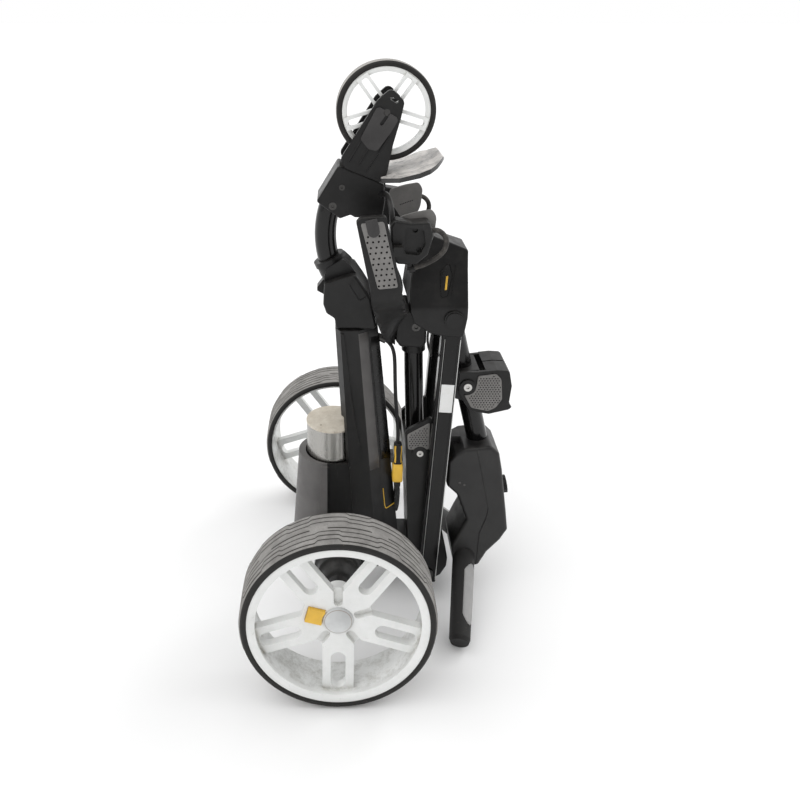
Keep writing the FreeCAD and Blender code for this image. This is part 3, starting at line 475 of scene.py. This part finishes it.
for width, names in EDGE_WIDTHS.items():
    for name in names.split():
        soften(NODES[name], width)


# ---- helpers for new pieces --------------------------------------------------
def mesh_object(name, verts, faces, looks, body, marks=None, smooth=True):
    mesh = bpy.data.meshes.new(name)
    mesh.from_pydata([tuple(v) for v in verts], [], faces)
    for look in looks:
        mesh.materials.append(LOOKS[look])
    for i, polygon in enumerate(mesh.polygons):
        polygon.use_smooth = smooth
        if marks is not None:
            polygon.material_index = marks[i]
    mesh.validate()
    obj = bpy.data.objects.new(name, mesh)
    bpy.context.scene.collection.objects.link(obj)
    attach(obj, body)
    return obj


def recalculate(obj):
    bm = bmesh.new()
    bm.from_mesh(obj.data)
    bmesh.ops.recalc_face_normals(bm, faces=bm.faces)
    bm.to_mesh(obj.data)
    bm.free()


def apply_modifiers(obj):
    evaluated = obj.evaluated_get(bpy.context.evaluated_depsgraph_get())
    mesh = bpy.data.meshes.new_from_object(evaluated)
    obj.modifiers.clear()
    obj.data = mesh


# ---- cords -------------------------------------------------------------------
def round_curve(name, places, radius, look, body, smooth=True):
    """Round cord, piping or painted highlight line through places in metres: a smooth curve, or
    straight runs.
    """
    data = bpy.data.curves.new(name, "CURVE")
    data.dimensions = "3D"
    data.bevel_depth = radius * MM
    data.bevel_resolution = 7 if smooth else 3
    data.use_fill_caps = True
    if smooth:
        data.resolution_u = 16
    spline = data.splines.new("NURBS" if smooth else "POLY")
    spline.points.add(len(places) - 1)
    for point, place in zip(spline.points, places):
        point.co = (*place, 1.0)
    if smooth:
        spline.order_u = 3
        spline.use_endpoint_u = True
    data.materials.append(LOOKS[look])
    obj = bpy.data.objects.new(name, data)
    bpy.context.scene.collection.objects.link(obj)
    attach(obj, body)
    return obj


BAG_CORD = [(138, 108, 681), (146, 108, 682.5), (155, 108, 679), (162, 108, 670),
            (163, 108, 659), (158, 108, 648), (149, 108, 639.5), (138, 108, 633),
            (128, 108, 628), (117, 108, 625)]
BAG_CORD_RADIUS = 3.8
for side, tag in ((-1, "near"), (1, "far")):
    route = [at(x, side * y, z) for x, y, z in BAG_CORD]
    bag_cord = round_curve("bag_cord_" + tag, route, BAG_CORD_RADIUS, "cord", "chassis")
    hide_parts("bag_cords")

LEAD = [(84, -25, 474), (92, -27, 468), (97, -30, 455), (98.5, -33, 437), (99, -36, 414),
        (100, -38, 388), (102, -38, 360), (104.5, -38, 334), (106, -38, 312), (106, -38, 296)]
LEAD_RADIUS = 3.0


# ---- plug --------------------------------------------------------------------
def lofted(name, rings, looks, body, mark=None):
    """Closed skin through rings of points that all have the same count."""
    count = len(rings[0])
    verts = [v for ring in rings for v in ring]
    faces = []
    marks = []
    for i in range(len(rings) - 1):
        for j in range(count):
            k = (j + 1) % count
            faces.append((i * count + j, i * count + k, (i + 1) * count + k, (i + 1) * count + j))
            marks.append(mark(i, j) if mark else 0)
    faces.append(tuple(reversed(range(count))))
    faces.append(tuple((len(rings) - 1) * count + j for j in range(count)))
    marks += [mark(0, 0) if mark else 0, mark(len(rings) - 2, 0) if mark else 0]
    obj = mesh_object(name, verts, faces, looks, body, marks)
    recalculate(obj)
    return obj


def rounded_ring(cx, cy, z, half_x, half_y, corner, steps=4):
    """Ring of points round a rounded rectangle at one height, in drawing mm."""
    ring = []
    for quarter, (sx, sy) in enumerate(((1, 1), (-1, 1), (-1, -1), (1, -1))):
        for step in range(steps + 1):
            a = math.radians(90 * quarter + 90 * step / steps)
            ring.append(at(cx + sx * (half_x - corner) + corner * math.cos(a),
                           cy + sy * (half_y - corner) + corner * math.sin(a), z))
    return ring


PLUG_RINGS = [
    (214.0, 4.6, 5.2, 2.0), (216.0, 5.3, 5.8, 2.0), (225.6, 5.4, 5.9, 2.0), (226.0, 8.0, 9.0, 3.0),
    (229.0, 8.8, 9.8, 3.0), (243.0, 8.5, 9.5, 3.0), (256.0, 8.6, 9.6, 3.0), (258.0, 7.6, 8.6, 3.0),
    (258.6, 6.4, 7.4, 3.0), (262.0, 6.4, 7.4, 3.0), (274.0, 6.0, 7.0, 3.0), (286.0, 6.8, 7.8, 3.0),
    (293.0, 6.3, 7.3, 3.0), (295.4, 5.2, 6.2, 2.8), (296.0, 4.4, 5.4, 2.6),
]
PLUG_X, PLUG_Y = 106.3, -38
PLUG_LOW = range(2, 8)
PLUG_STRIPES = range(9, 12)
STRIPE_COLUMNS = (1, 2, 3, 6, 7, 8, 11, 12, 13, 16, 17, 18)
plug_rings = [rounded_ring(PLUG_X, PLUG_Y, z, hx, hy, c) for z, hx, hy, c in PLUG_RINGS]


def plug_colour(ring, column):
    striped = ring in PLUG_STRIPES and column in STRIPE_COLUMNS
    return 1 if ring in PLUG_LOW or striped else 0


plug = lofted("lead_plug_body", plug_rings, ["black_gloss", "yellow"], "chassis",
              plug_colour)
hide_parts("lead_plug")
TAIL_RINGS = [(166.0, 1.6, 2.6, 1.4), (170.0, 2.6, 4.2, 2.0), (180.0, 4.0, 5.6, 2.4),
              (195.0, 4.9, 6.2, 2.6), (208.0, 5.0, 6.0, 2.4), (214.0, 4.4, 5.0, 2.0)]
tail_rings = [rounded_ring(PLUG_X, PLUG_Y, z, hx, hy, c) for z, hx, hy, c in TAIL_RINGS]
lofted("lead_plug_tail", tail_rings, ["black_gloss"], "chassis")
lead = round_curve("battery_lead_cord", [at(*place) for place in LEAD], LEAD_RADIUS, "lead",
                   "chassis")
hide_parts("battery_lead")


# ---- tyres -------------------------------------------------------------------
def smooth_step(t):
    t = max(0.0, min(1.0, t))
    return t * t * (3 - 2 * t)


def tyre(tag, body, centre, radius, width, bead, lanes, turns, shoulder, looks):
    """Tyre about the Y axis. Each lane is (position, half width, depth, step, share cut)."""
    half = width / 2
    band = 2.6    # how far the dark sidewall reaches round the shoulder
    verts = []
    marks_row = []

    def crown(y):
        a = abs(y) / half
        edge = smooth_step((a - 0.78) / 0.22)
        return radius - 0.5 * a * a - shoulder * edge * edge

    for i in range(turns):
        angle = 2 * math.pi * i / turns
        phase = (i / turns * 10.0) % 1.0
        row = [(-half + 1.6, bead), (-half + 0.3, bead + 0.9), (-half, bead + 2.0),
               (-half, crown(-half) - 2.2), (-half + 0.4, crown(-half) - 0.6),
               (-half + band, crown(-half + band))]
        tags = [1, 1, 1, 1, 1, 0]
        for y, hw, depth, step, cut in lanes:
            flip = 0.5 if y > 0 else 0.0
            t = (phase + flip) % 1.0
            swing = smooth_step(t / 0.07) - smooth_step((t - 0.62) / 0.07)
            middle = y + math.copysign(1.0, y) * step * (swing - 0.5)
            if cut < 1.0:
                u = (phase + flip + 0.18) % 1.0
                deep = depth * smooth_step(u / 0.05) * smooth_step((cut - u) / 0.05)
            else:
                deep = depth
            for offset, sink in ((-hw - 0.3, 0.0), (-hw, deep), (hw, deep), (hw + 0.3, 0.0)):
                row.append((middle + offset, crown(middle + offset) - sink))
            groove = 2 if deep > 0.2 else 0
            tags += [groove, groove, groove, 0]
        row += [(half - band, crown(half - band)), (half - 0.4, crown(half) - 0.6),
                (half, crown(half) - 2.2), (half, bead + 2.0), (half - 0.3, bead + 0.9),
                (half - 1.6, bead)]
        tags += [1, 1, 1, 1, 1, 1]
        marks_row.append(tags)
        for y, r in row:
            verts.append(at(centre[0] + r * math.sin(angle), centre[1] + y,
                            centre[2] + r * math.cos(angle)))
    count = len(row)
    faces = []
    marks = []
    for i in range(turns):
        n = (i + 1) % turns
        for j in range(count):
            k = (j + 1) % count
            faces.append((i * count + j, n * count + j, n * count + k, i * count + k))
            marks.append(marks_row[i][j])
    obj = mesh_object("tyre_tread_" + tag, verts, faces, looks, body, marks)
    recalculate(obj)
    return obj


REAR_LANES = [(-29.0, 0.6, 1.3, 5.0, 1.0), (-19.5, 0.6, 1.2, 4.0, 1.0), (-10.5, 0.5, 1.0, 3.0, 1.0),
              (-2.5, 0.8, 1.4, 0.0, 0.72), (10.5, 0.5, 1.0, 3.0, 1.0), (19.5, 0.6, 1.2, 4.0, 1.0),
              (29.0, 0.6, 1.3, 5.0, 1.0)]
FRONT_LANES = [(-11.0, 0.5, 0.5, 0.0, 1.0), (11.0, 0.5, 0.5, 0.0, 1.0)]
for side, tag in ((-1, "near"), (1, "far")):
    wheel_tyre = tyre(tag, "wheel_" + tag, (REAR_X, side * REAR_Y, REAR_R), REAR_R, REAR_W,
                      REAR_BEAD_R, REAR_LANES, 480, 3.6, ["tread", "sidewall", "tread_low"])
    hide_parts("tyre_" + tag)
front_wheel_tyre = tyre("front", "front_wheel", (FRONT_X, 0.0, FRONT_Z), FRONT_R, FRONT_W,
                        FRONT_BEAD_R, FRONT_LANES, 240, 3.0,
                        ["front_tread", "sidewall", "tread_low"])
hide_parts("front_tyre")


# ---- pads --------------------------------------------------------------------
def outline_pad(name, points, y_face, y_back, corner, body, node, look="pad"):
    """Flat pad with rounded outline, domed a little towards its face."""
    ring = []
    count = len(points)
    for i in range(count):
        before = Vector(points[i - 1])
        here = Vector(points[i])
        after = Vector(points[(i + 1) % count])
        reach = min(corner, 0.4 * (before - here).length, 0.4 * (after - here).length)
        a = here + (before - here).normalized() * reach
        b = here + (after - here).normalized() * reach
        for step in range(5):
            t = step / 4
            ring.append(a * (1 - t) ** 2 + here * 2 * t * (1 - t) + b * t * t)
    middle = sum(ring, Vector((0, 0))) / len(ring)
    sign = 1.0 if y_face > y_back else -1.0
    levels = [(0.0, y_back), (0.0, y_face - sign * 0.9), (0.5, y_face - sign * 0.25), (1.3, y_face)]
    verts = []
    for inset, y in levels:
        for p in ring:
            q = p + (middle - p).normalized() * inset
            verts.append(at(q.x, y, q.y))
    n = len(ring)
    faces = [tuple(range(n)), tuple(range((len(levels) - 1) * n, len(levels) * n))]
    for level in range(len(levels) - 1):
        for j in range(n):
            k = (j + 1) % n
            faces.append((level * n + j, level * n + k, (level + 1) * n + k, (level + 1) * n + j))
    obj = mesh_object(name, verts, faces, [look], body, smooth=False)
    recalculate(obj)
    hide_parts(node)
    return obj


def cutter(cones):
    """One mesh of many small closed cones.

    Each is (base centre, direction, base radius, tip radius, depth, sides, turn).
    """
    bm = bmesh.new()
    for centre, direction, r0, r1, depth, sides, turn in cones:
        matrix = Matrix.Translation(centre) @ direction.to_track_quat("Z", "Y").to_matrix().to_4x4()
        matrix = matrix @ Matrix.Rotation(turn, 4, "Z") @ Matrix.Translation((0, 0, depth / 2))
        bmesh.ops.create_cone(bm, cap_ends=True, segments=sides, radius1=r0, radius2=r1,
                              depth=depth, matrix=matrix)
    mesh = bpy.data.meshes.new("cutter")
    bm.to_mesh(mesh)
    bm.free()
    obj = bpy.data.objects.new("cutter", mesh)
    bpy.context.scene.collection.objects.link(obj)
    return obj


def carve(obj, cones, look):
    """Cut the cones out of a piece; the new walls take the given look (the dark one is painted
    shade in holes).
    """
    tool = cutter(cones)
    tool.data.materials.append(LOOKS[look])
    obj.data.materials.append(LOOKS[look])
    for polygon in tool.data.polygons:
        polygon.material_index = 0
    cut = obj.modifiers.new("cut", "BOOLEAN")
    cut.operation = "DIFFERENCE"
    cut.solver = "EXACT"
    cut.object = tool
    cut.material_mode = "TRANSFER"
    apply_modifiers(obj)
    bpy.data.objects.remove(tool)


def inside(p, outline):
    hit = False
    for i in range(len(outline)):
        a = outline[i - 1]
        b = outline[i]
        if (a[1] > p[1]) != (b[1] > p[1]):
            if p[0] < (b[0] - a[0]) * (p[1] - a[1]) / (b[1] - a[1]) + a[0]:
                hit = not hit
    return hit


def margin(p, outline):
    """Distance from a point to the nearest side of an outline."""
    best = 1e9
    for i in range(len(outline)):
        a = Vector(outline[i - 1])
        b = Vector(outline[i])
        t = max(0.0, min(1.0, (Vector(p) - a).dot(b - a) / (b - a).length_squared))
        best = min(best, (Vector(p) - a - (b - a) * t).length)
    return best


def dimples(outline, keep_clear, y_face, side, pitch):
    """Staggered three-sided dimples over an outline, away from its edge and one round boss."""
    cones = []
    rows = 0
    z = min(p[1] for p in outline)
    while z < max(p[1] for p in outline):
        x = min(p[0] for p in outline) + (pitch / 2 if rows % 2 else 0)
        while x < max(p[0] for p in outline):
            boss_x, boss_z, boss_r = keep_clear
            far_enough = math.hypot(x - boss_x, z - boss_z) > boss_r + 2.2
            if inside((x, z), outline) and margin((x, z), outline) > 2.6 and far_enough:
                base = at(x, y_face + side * 0.4, z)
                cones.append((base, Vector((0, -side, 0)), 2.1 * MM, 0.6 * MM, 1.7 * MM, 3,
                              math.pi / 2))
            x += pitch
        z += pitch * 0.85
        rows += 1
    return cones


BAG_PAD = [(233, 417), (262, 421), (271, 412), (274, 376), (264, 361), (252, 355), (224, 361),
           (212, 384), (217, 384), (231, 398)]
STEM_PAD = [(121, 312), (158, 334), (158, 284), (123, 284)]
BAG_BOSS = (217.0, 398.0, 13.5)
STEM_BOSS = (143.0, 277.0, 13.0)


def boss_cut(obj, boss, y0, y1):
    x, z, r = boss
    carve(obj, [(at(x, y0, z), Vector((0, 1 if y1 > y0 else -1, 0)), r * MM, r * MM,
                 abs(y1 - y0) * MM, 48, 0.0)], "pad")


for side, tag in ((-1, "near"), (1, "far")):
    bag_pad = outline_pad("bag_pad_rubber_" + tag, BAG_PAD, side * 41.0, side * 38.0, 4.0,
                          "bag_arm_" + tag, "bag_pad_" + tag)
    boss_cut(bag_pad, BAG_BOSS, side * 45.0, side * 35.0)
    carve(bag_pad, dimples(BAG_PAD, BAG_BOSS, side * 41.0, side, 4.6), "pad_hole_shade")
    stem_pad = outline_pad("stem_pad_rubber_" + tag, STEM_PAD, side * 41.5, side * 38.5, 4.0,
                           "chassis", "stem_pads")
    boss_cut(stem_pad, STEM_BOSS, side * 45.0, side * 35.0)
    carve(stem_pad, dimples(STEM_PAD, STEM_BOSS, side * 41.5, side, 4.6), "pad_hole_shade")

CRADLE_PAD = [(37, 699), (70, 702), (92, 604), (63, 601)]
for side, tag in ((-1, "near"), (1, "far")):
    pad = outline_pad("cradle_pad_rubber_" + tag, CRADLE_PAD, side * 137.0, side * 132.0, 4.0,
                      "chassis", "cradle_pads")
    holes = []
    for row in range(10):
        for column in range(4):
            u = (column + 0.5 + (0.18 if row % 2 else -0.18)) / 4
            v = 0.05 + row * 0.083
            low = Vector(CRADLE_PAD[3]).lerp(Vector(CRADLE_PAD[2]), u)
            high = Vector(CRADLE_PAD[0]).lerp(Vector(CRADLE_PAD[1]), u)
            spot = low.lerp(high, v)
            holes.append((at(spot.x, side * 137.5, spot.y), Vector((0, -side, 0)), 1.7 * MM,
                          1.2 * MM, 2.6 * MM, 12, 0.0))
    carve(pad, holes, "pad_hole_shade")

WING_FLAP = [(93, 697), (119, 705), (142, 709), (149, 698), (146, 667), (136, 647), (114, 647),
             (93, 679)]
for side, tag in ((-1, "near"), (1, "far")):
    flap = outline_pad("wing_flap_" + tag, WING_FLAP, side * 90.0, side * 94.0, 7.0, "chassis",
                       "cradle_pads", "flap")
    slit = [(at(112 + 1.4 * i, side * 89.5, 671 + 0.5 * i), Vector((0, side, 0)), 1.1 * MM,
             0.9 * MM, 1.6 * MM, 8, 0.0) for i in range(16)]
    carve(flap, slit[::2], "pad_hole_shade")


def tab(name, centre, length, width, y0, y1, lean, body, look):
    """Half-round tab that lies on a pad: straight sides, a round lower end."""
    side = 1 if y1 > y0 else -1
    shape = [(-width / 2, length / 2), (width / 2, length / 2)]
    for step in range(13):
        a = math.pi * step / 12
        shape.append((width / 2 * math.cos(a), -length / 2 + width / 2 - width / 2 * math.sin(a)))
    turned = []
    for x, z in shape:
        turned.append((centre[0] + x * math.cos(lean) + z * math.sin(lean),
                       centre[1] - x * math.sin(lean) + z * math.cos(lean)))
    rings = [[at(x, y, z) for x, z in turned] for y in (y0, y1 - side * 0.5)]
    middle = Vector((sum(p[0] for p in turned), sum(p[1] for p in turned))) / len(turned)
    rings.append([at(*((Vector(p) * 0.93 + middle * 0.07).to_3d().xzy + Vector((0, y1, 0))))
                  for p in turned])
    return lofted(name, rings, [look], body)


PAD_LEAN = math.radians(-13.0)
for side, tag in ((-1, "near"), (1, "far")):
    tab("cradle_tab_" + tag, (54.5, 692), 26.0, 17.0, side * 136.0, side * 138.4, PAD_LEAN,
        "chassis", "panel")


# ---- small details -------------------------------------------------------------
def strut_point(x, s, y):
    """A point of the leaning strut: x across it, s up it from its pivot."""
    lean = math.radians(STRUT_LEAN)
    return at(STRUT_BASE[0] + x * math.cos(lean) + s * math.sin(lean), y,
              STRUT_BASE[1] + s * math.cos(lean) - x * math.sin(lean))


LABEL_LEFT, LABEL_RIGHT, LABEL_LOW, LABEL_HIGH = -8.6, 11.8, 306, 355
label_rings = []
for y, inset in ((-64.02, 0.0), (-64.22, 0.0), (-64.26, 0.15)):
    label_rings.append([strut_point(x, s, y) for x, s in (
        (LABEL_LEFT + inset, LABEL_LOW + inset), (LABEL_RIGHT - inset, LABEL_LOW + inset),
        (LABEL_RIGHT - inset, LABEL_HIGH - inset), (LABEL_LEFT + inset, LABEL_HIGH - inset))])
lofted("blank_label", label_rings, ["paper"], "strut_frame")

FLARE_SLOPE = math.atan2(40.0, 93.0)    # lean of the head's tapering side


def on_flare(x, y, z):
    """A point given on the head's near sloping side: z up the slope, y into it."""
    return at(x, -66.0 + y * math.cos(FLARE_SLOPE) + z * math.sin(FLARE_SLOPE),
              545.0 - y * math.sin(FLARE_SLOPE) + z * math.cos(FLARE_SLOPE))


def flare_plate(name, outline, levels, look):
    """Thin plate on the sloping side; levels are (depth, share of the outline)."""
    middle_x = sum(p[0] for p in outline) / len(outline)
    middle_z = sum(p[1] for p in outline) / len(outline)
    rings = []
    for depth, share in levels:
        rings.append([on_flare(middle_x + (x - middle_x) * share, depth,
                               middle_z + (z - middle_z) * share) for x, z in outline])
    lofted(name, rings, [look], "strut_frame")


BADGE = [(164.2, 55.6), (171, 63), (178.2, 69.4), (180.4, 61), (182.6, 50), (179, 34), (175.2, 20),
         (170, 17.2), (165.4, 17), (164.6, 36)]
flare_plate("plain_badge", BADGE, ((1.38, 1.0), (0.75, 1.0), (0.45, 0.93)), "black_gloss")
BADGE_BAR = [(171.0, 28.0), (174.2, 28.6), (176.6, 50.0), (173.4, 49.4)]
flare_plate("badge_bar", BADGE_BAR, ((0.5, 1.0), (0.3, 1.0), (0.15, 0.9)), "yellow")


# Grey strip on the chamfer of each side of the beam.
def beam_facet(z, share, y, out):
    """A point on the beam's side chamfer, share of the way across it, out along its normal."""
    x = beam_left(z) + share * (beam_right(z) - beam_left(z))
    return (x + out * 0.54, y + out * 0.84, z)


for side, tag in ((-1, "near"), (1, "far")):
    strip_rings = []
    for step in range(13):
        z = 250.0 + step * 20.4
        ring = []
        for share, y, out in ((0.53, 49.5, -0.3), (0.53, 49.5, 0.25), (0.545, 48.75, 0.45),
                              (0.735, 39.25, 0.45), (0.75, 38.5, 0.25), (0.75, 38.5, -0.3)):
            x, depth, height = beam_facet(z, share, y, out)
            ring.append(at(x, side * depth, height))
        strip_rings.append(ring)
    lofted("beam_strip_" + tag, strip_rings, ["strip"], "chassis")

# Light strip along the upper outer side of each grip: a painted highlight.
GRIP_ROOT = Vector((226, 34, 74))
GRIP_END = Vector((200, 172, 16))
for side, tag in ((-1, "near"), (1, "far")):
    root = Vector((GRIP_ROOT.x, side * GRIP_ROOT.y, GRIP_ROOT.z))
    end = Vector((GRIP_END.x, side * GRIP_END.y, GRIP_END.z))
    along = (end - root).normalized()
    out = Vector((1, 0, 0.9))
    out = (out - along * along.dot(out)).normalized()
    across = along.cross(out)
    length = (end - root).length - 6
    rings = []
    stations = 22
    for i in range(stations + 1):
        t = 0.16 + 0.70 * i / stations
        ends = min(1.0, min(i, stations - i) / 3)
        spread_angle = math.radians(44) * math.sqrt(max(ends, 0.05))
        r = 19.0 + (17.0 - 19.0) * t
        spot = root + along * (length * t)
        ring = []
        for height in (0.55, -1.0):
            steps = range(9) if height > 0 else reversed(range(9))
            for step in steps:
                a = spread_angle * (step / 4 - 1)
                dome = height - (0.45 if height > 0 and step in (0, 8) else 0.0)
                p = spot + out * ((r + dome) * math.cos(a)) + across * ((r + dome) * math.sin(a))
                ring.append(at(*p))
        rings.append(ring)
    lofted("grip_highlight_strip_" + tag, rings, ["highlight_strip"], "handle")

# Two small plugs on each side of the console.
for side, tag in ((-1, "near"), (1, "far")):
    for number, (x, z) in enumerate(((211.5, 221.0), (219.5, 217.0))):
        rings = []
        for y, r in ((40.6, 2.1), (41.15, 2.1), (41.3, 1.8)):
            rings.append([at(x + r * math.cos(math.radians(24 * i)), side * y,
                             z + r * math.sin(math.radians(24 * i))) for i in range(15)])
        lofted("console_plug_%s_%d" % (tag, number), rings, ["strip"], "handle")


# Plain dark band over the beam's front corner, with yellow piping at its foot.
def beam_front(z, share, out):
    """A point on the facet beside the front face: share 0 at its outer side, 1 at the face."""
    x = beam_left(z) + (0.76 + 0.24 * share) * (beam_right(z) - beam_left(z))
    return (x + out * 0.39, 38.0 - 8.0 * share + out * 0.92, z)


for side, tag in ((-1, "near"), (1, "far")):
    band_rings = []
    for step in range(12):
        z = 264.0 + step * 20.0
        face_x = beam_right(z)
        ring = [beam_front(z, 0.12, -0.3), beam_front(z, 0.12, 0.7), beam_front(z, 0.2, 0.9),
                beam_front(z, 0.97, 0.9), (face_x + 0.9, 28.5, z), (face_x + 0.9, 21.0, z),
                (face_x - 0.3, 20.0, z), (face_x - 0.3, 28.0, z)]
        band_rings.append([at(x, side * y, height) for x, y, height in ring])
    lofted("beam_band_" + tag, band_rings, ["black_gloss"], "chassis")


STRUT_HIGHLIGHT_SPAN = (-14, 432)    # how far the painted highlight lines run along each strut, from its pivot
PIPING = [(208.0, 0.08), (176.0, 0.08), (170.0, 0.14), (169.0, 0.24), (175.0, 0.96)]
for side, tag in ((-1, "near"), (1, "far")):
    piping = []
    for z, share in PIPING:
        x, y, height = beam_front(z, share, 0.3)
        piping.append(at(x, side * y, height))
    round_curve("beam_piping_" + tag, piping, 0.9, "yellow", "chassis",
                smooth=False)
    # Light metal lines on each strut: painted highlights for its bright right edge and the thin
    # light line on its left.
    right_highlight_line = [strut_point(14.15, s, side * 62.65) for s in STRUT_HIGHLIGHT_SPAN]
    round_curve("strut_edge_highlight_" + tag, right_highlight_line, 0.8, "strut_highlight", "strut_frame",
                smooth=False)
    left_highlight_line = [strut_point(-10.25, s, side * 62.9) for s in STRUT_HIGHLIGHT_SPAN]
    round_curve("strut_left_highlight_" + tag, left_highlight_line, 0.5, "strut_highlight", "strut_frame",
                smooth=False)


# ---- stage -------------------------------------------------------------------
floor_look = Nodes("floor_look")
floor_look.set("Base Color", floor_look.mix(floor_look.noise(3.0, 3.0), (0.905, 0.905, 0.905),
                                            (0.925, 0.925, 0.925)))
floor_look.set("Roughness", 0.85)
floor_look.set("Specular IOR Level", 0.2)
floor_mesh = bpy.data.meshes.new("floor")
FLOOR_REACH = 60.0
floor_corners = [(sx * FLOOR_REACH, sy * FLOOR_REACH, 0) for sx, sy in
                 ((-1, -1), (1, -1), (1, 1), (-1, 1))]
floor_mesh.from_pydata(floor_corners, [], [(0, 1, 2, 3)])
floor_mesh.materials.append(floor_look.mat)
floor = bpy.data.objects.new("floor", floor_mesh)
floor.location.z = -0.0002
bpy.context.scene.collection.objects.link(floor)


def soft_sun(name, place, strength, width):
    data = bpy.data.lights.new(name, "SUN")
    data.energy = strength
    data.angle = math.radians(width)
    obj = bpy.data.objects.new(name, data)
    obj.rotation_euler = (-Vector(place)).to_track_quat("-Z", "Y").to_euler()
    bpy.context.scene.collection.objects.link(obj)


soft_sun("key_sun", (-1.5, -0.9, 2.0), 0.95, 60.0)
soft_sun("rim_sun", (1.2, 1.1, 1.3), 0.25, 16.0)
soft_sun("side_sun", (2.0, 0.3, 1.6), 0.50, 50.0)

# Bright above and behind, darker in front, like a white sweep in a dim room.
world = bpy.data.worlds.new("studio")
world.use_nodes = True
sky = world.node_tree
direction = sky.nodes.new("ShaderNodeTexCoord")
parts = sky.nodes.new("ShaderNodeSeparateXYZ")
sky.links.new(direction.outputs["Generated"], parts.inputs[0])
behind = sky.nodes.new("ShaderNodeMath")
behind.operation = "MULTIPLY"
behind.inputs[1].default_value = 0.8
sky.links.new(parts.outputs["Y"], behind.inputs[0])
height = sky.nodes.new("ShaderNodeMath")
height.operation = "MULTIPLY_ADD"
height.inputs[1].default_value = 0.9
sky.links.new(parts.outputs["Z"], height.inputs[0])
sky.links.new(behind.outputs[0], height.inputs[2])
fade = sky.nodes.new("ShaderNodeMapRange")
fade.inputs["From Min"].default_value = -0.5
fade.inputs["From Max"].default_value = 0.6
fade.inputs["To Min"].default_value = 0.3
fade.inputs["To Max"].default_value = 1.0
sky.links.new(height.outputs[0], fade.inputs["Value"])
background = sky.nodes["Background"]
background.inputs["Color"].default_value = (1.0, 1.0, 1.0, 1.0)
path = sky.nodes.new("ShaderNodeLightPath")
seen = sky.nodes.new("ShaderNodeMath")
seen.operation = "MAXIMUM"
sky.links.new(fade.outputs["Result"], seen.inputs[0])
sky.links.new(path.outputs["Is Camera Ray"], seen.inputs[1])
sky.links.new(seen.outputs[0], background.inputs["Strength"])
bpy.context.scene.world = world
bpy.context.scene.view_settings.view_transform = "Standard"
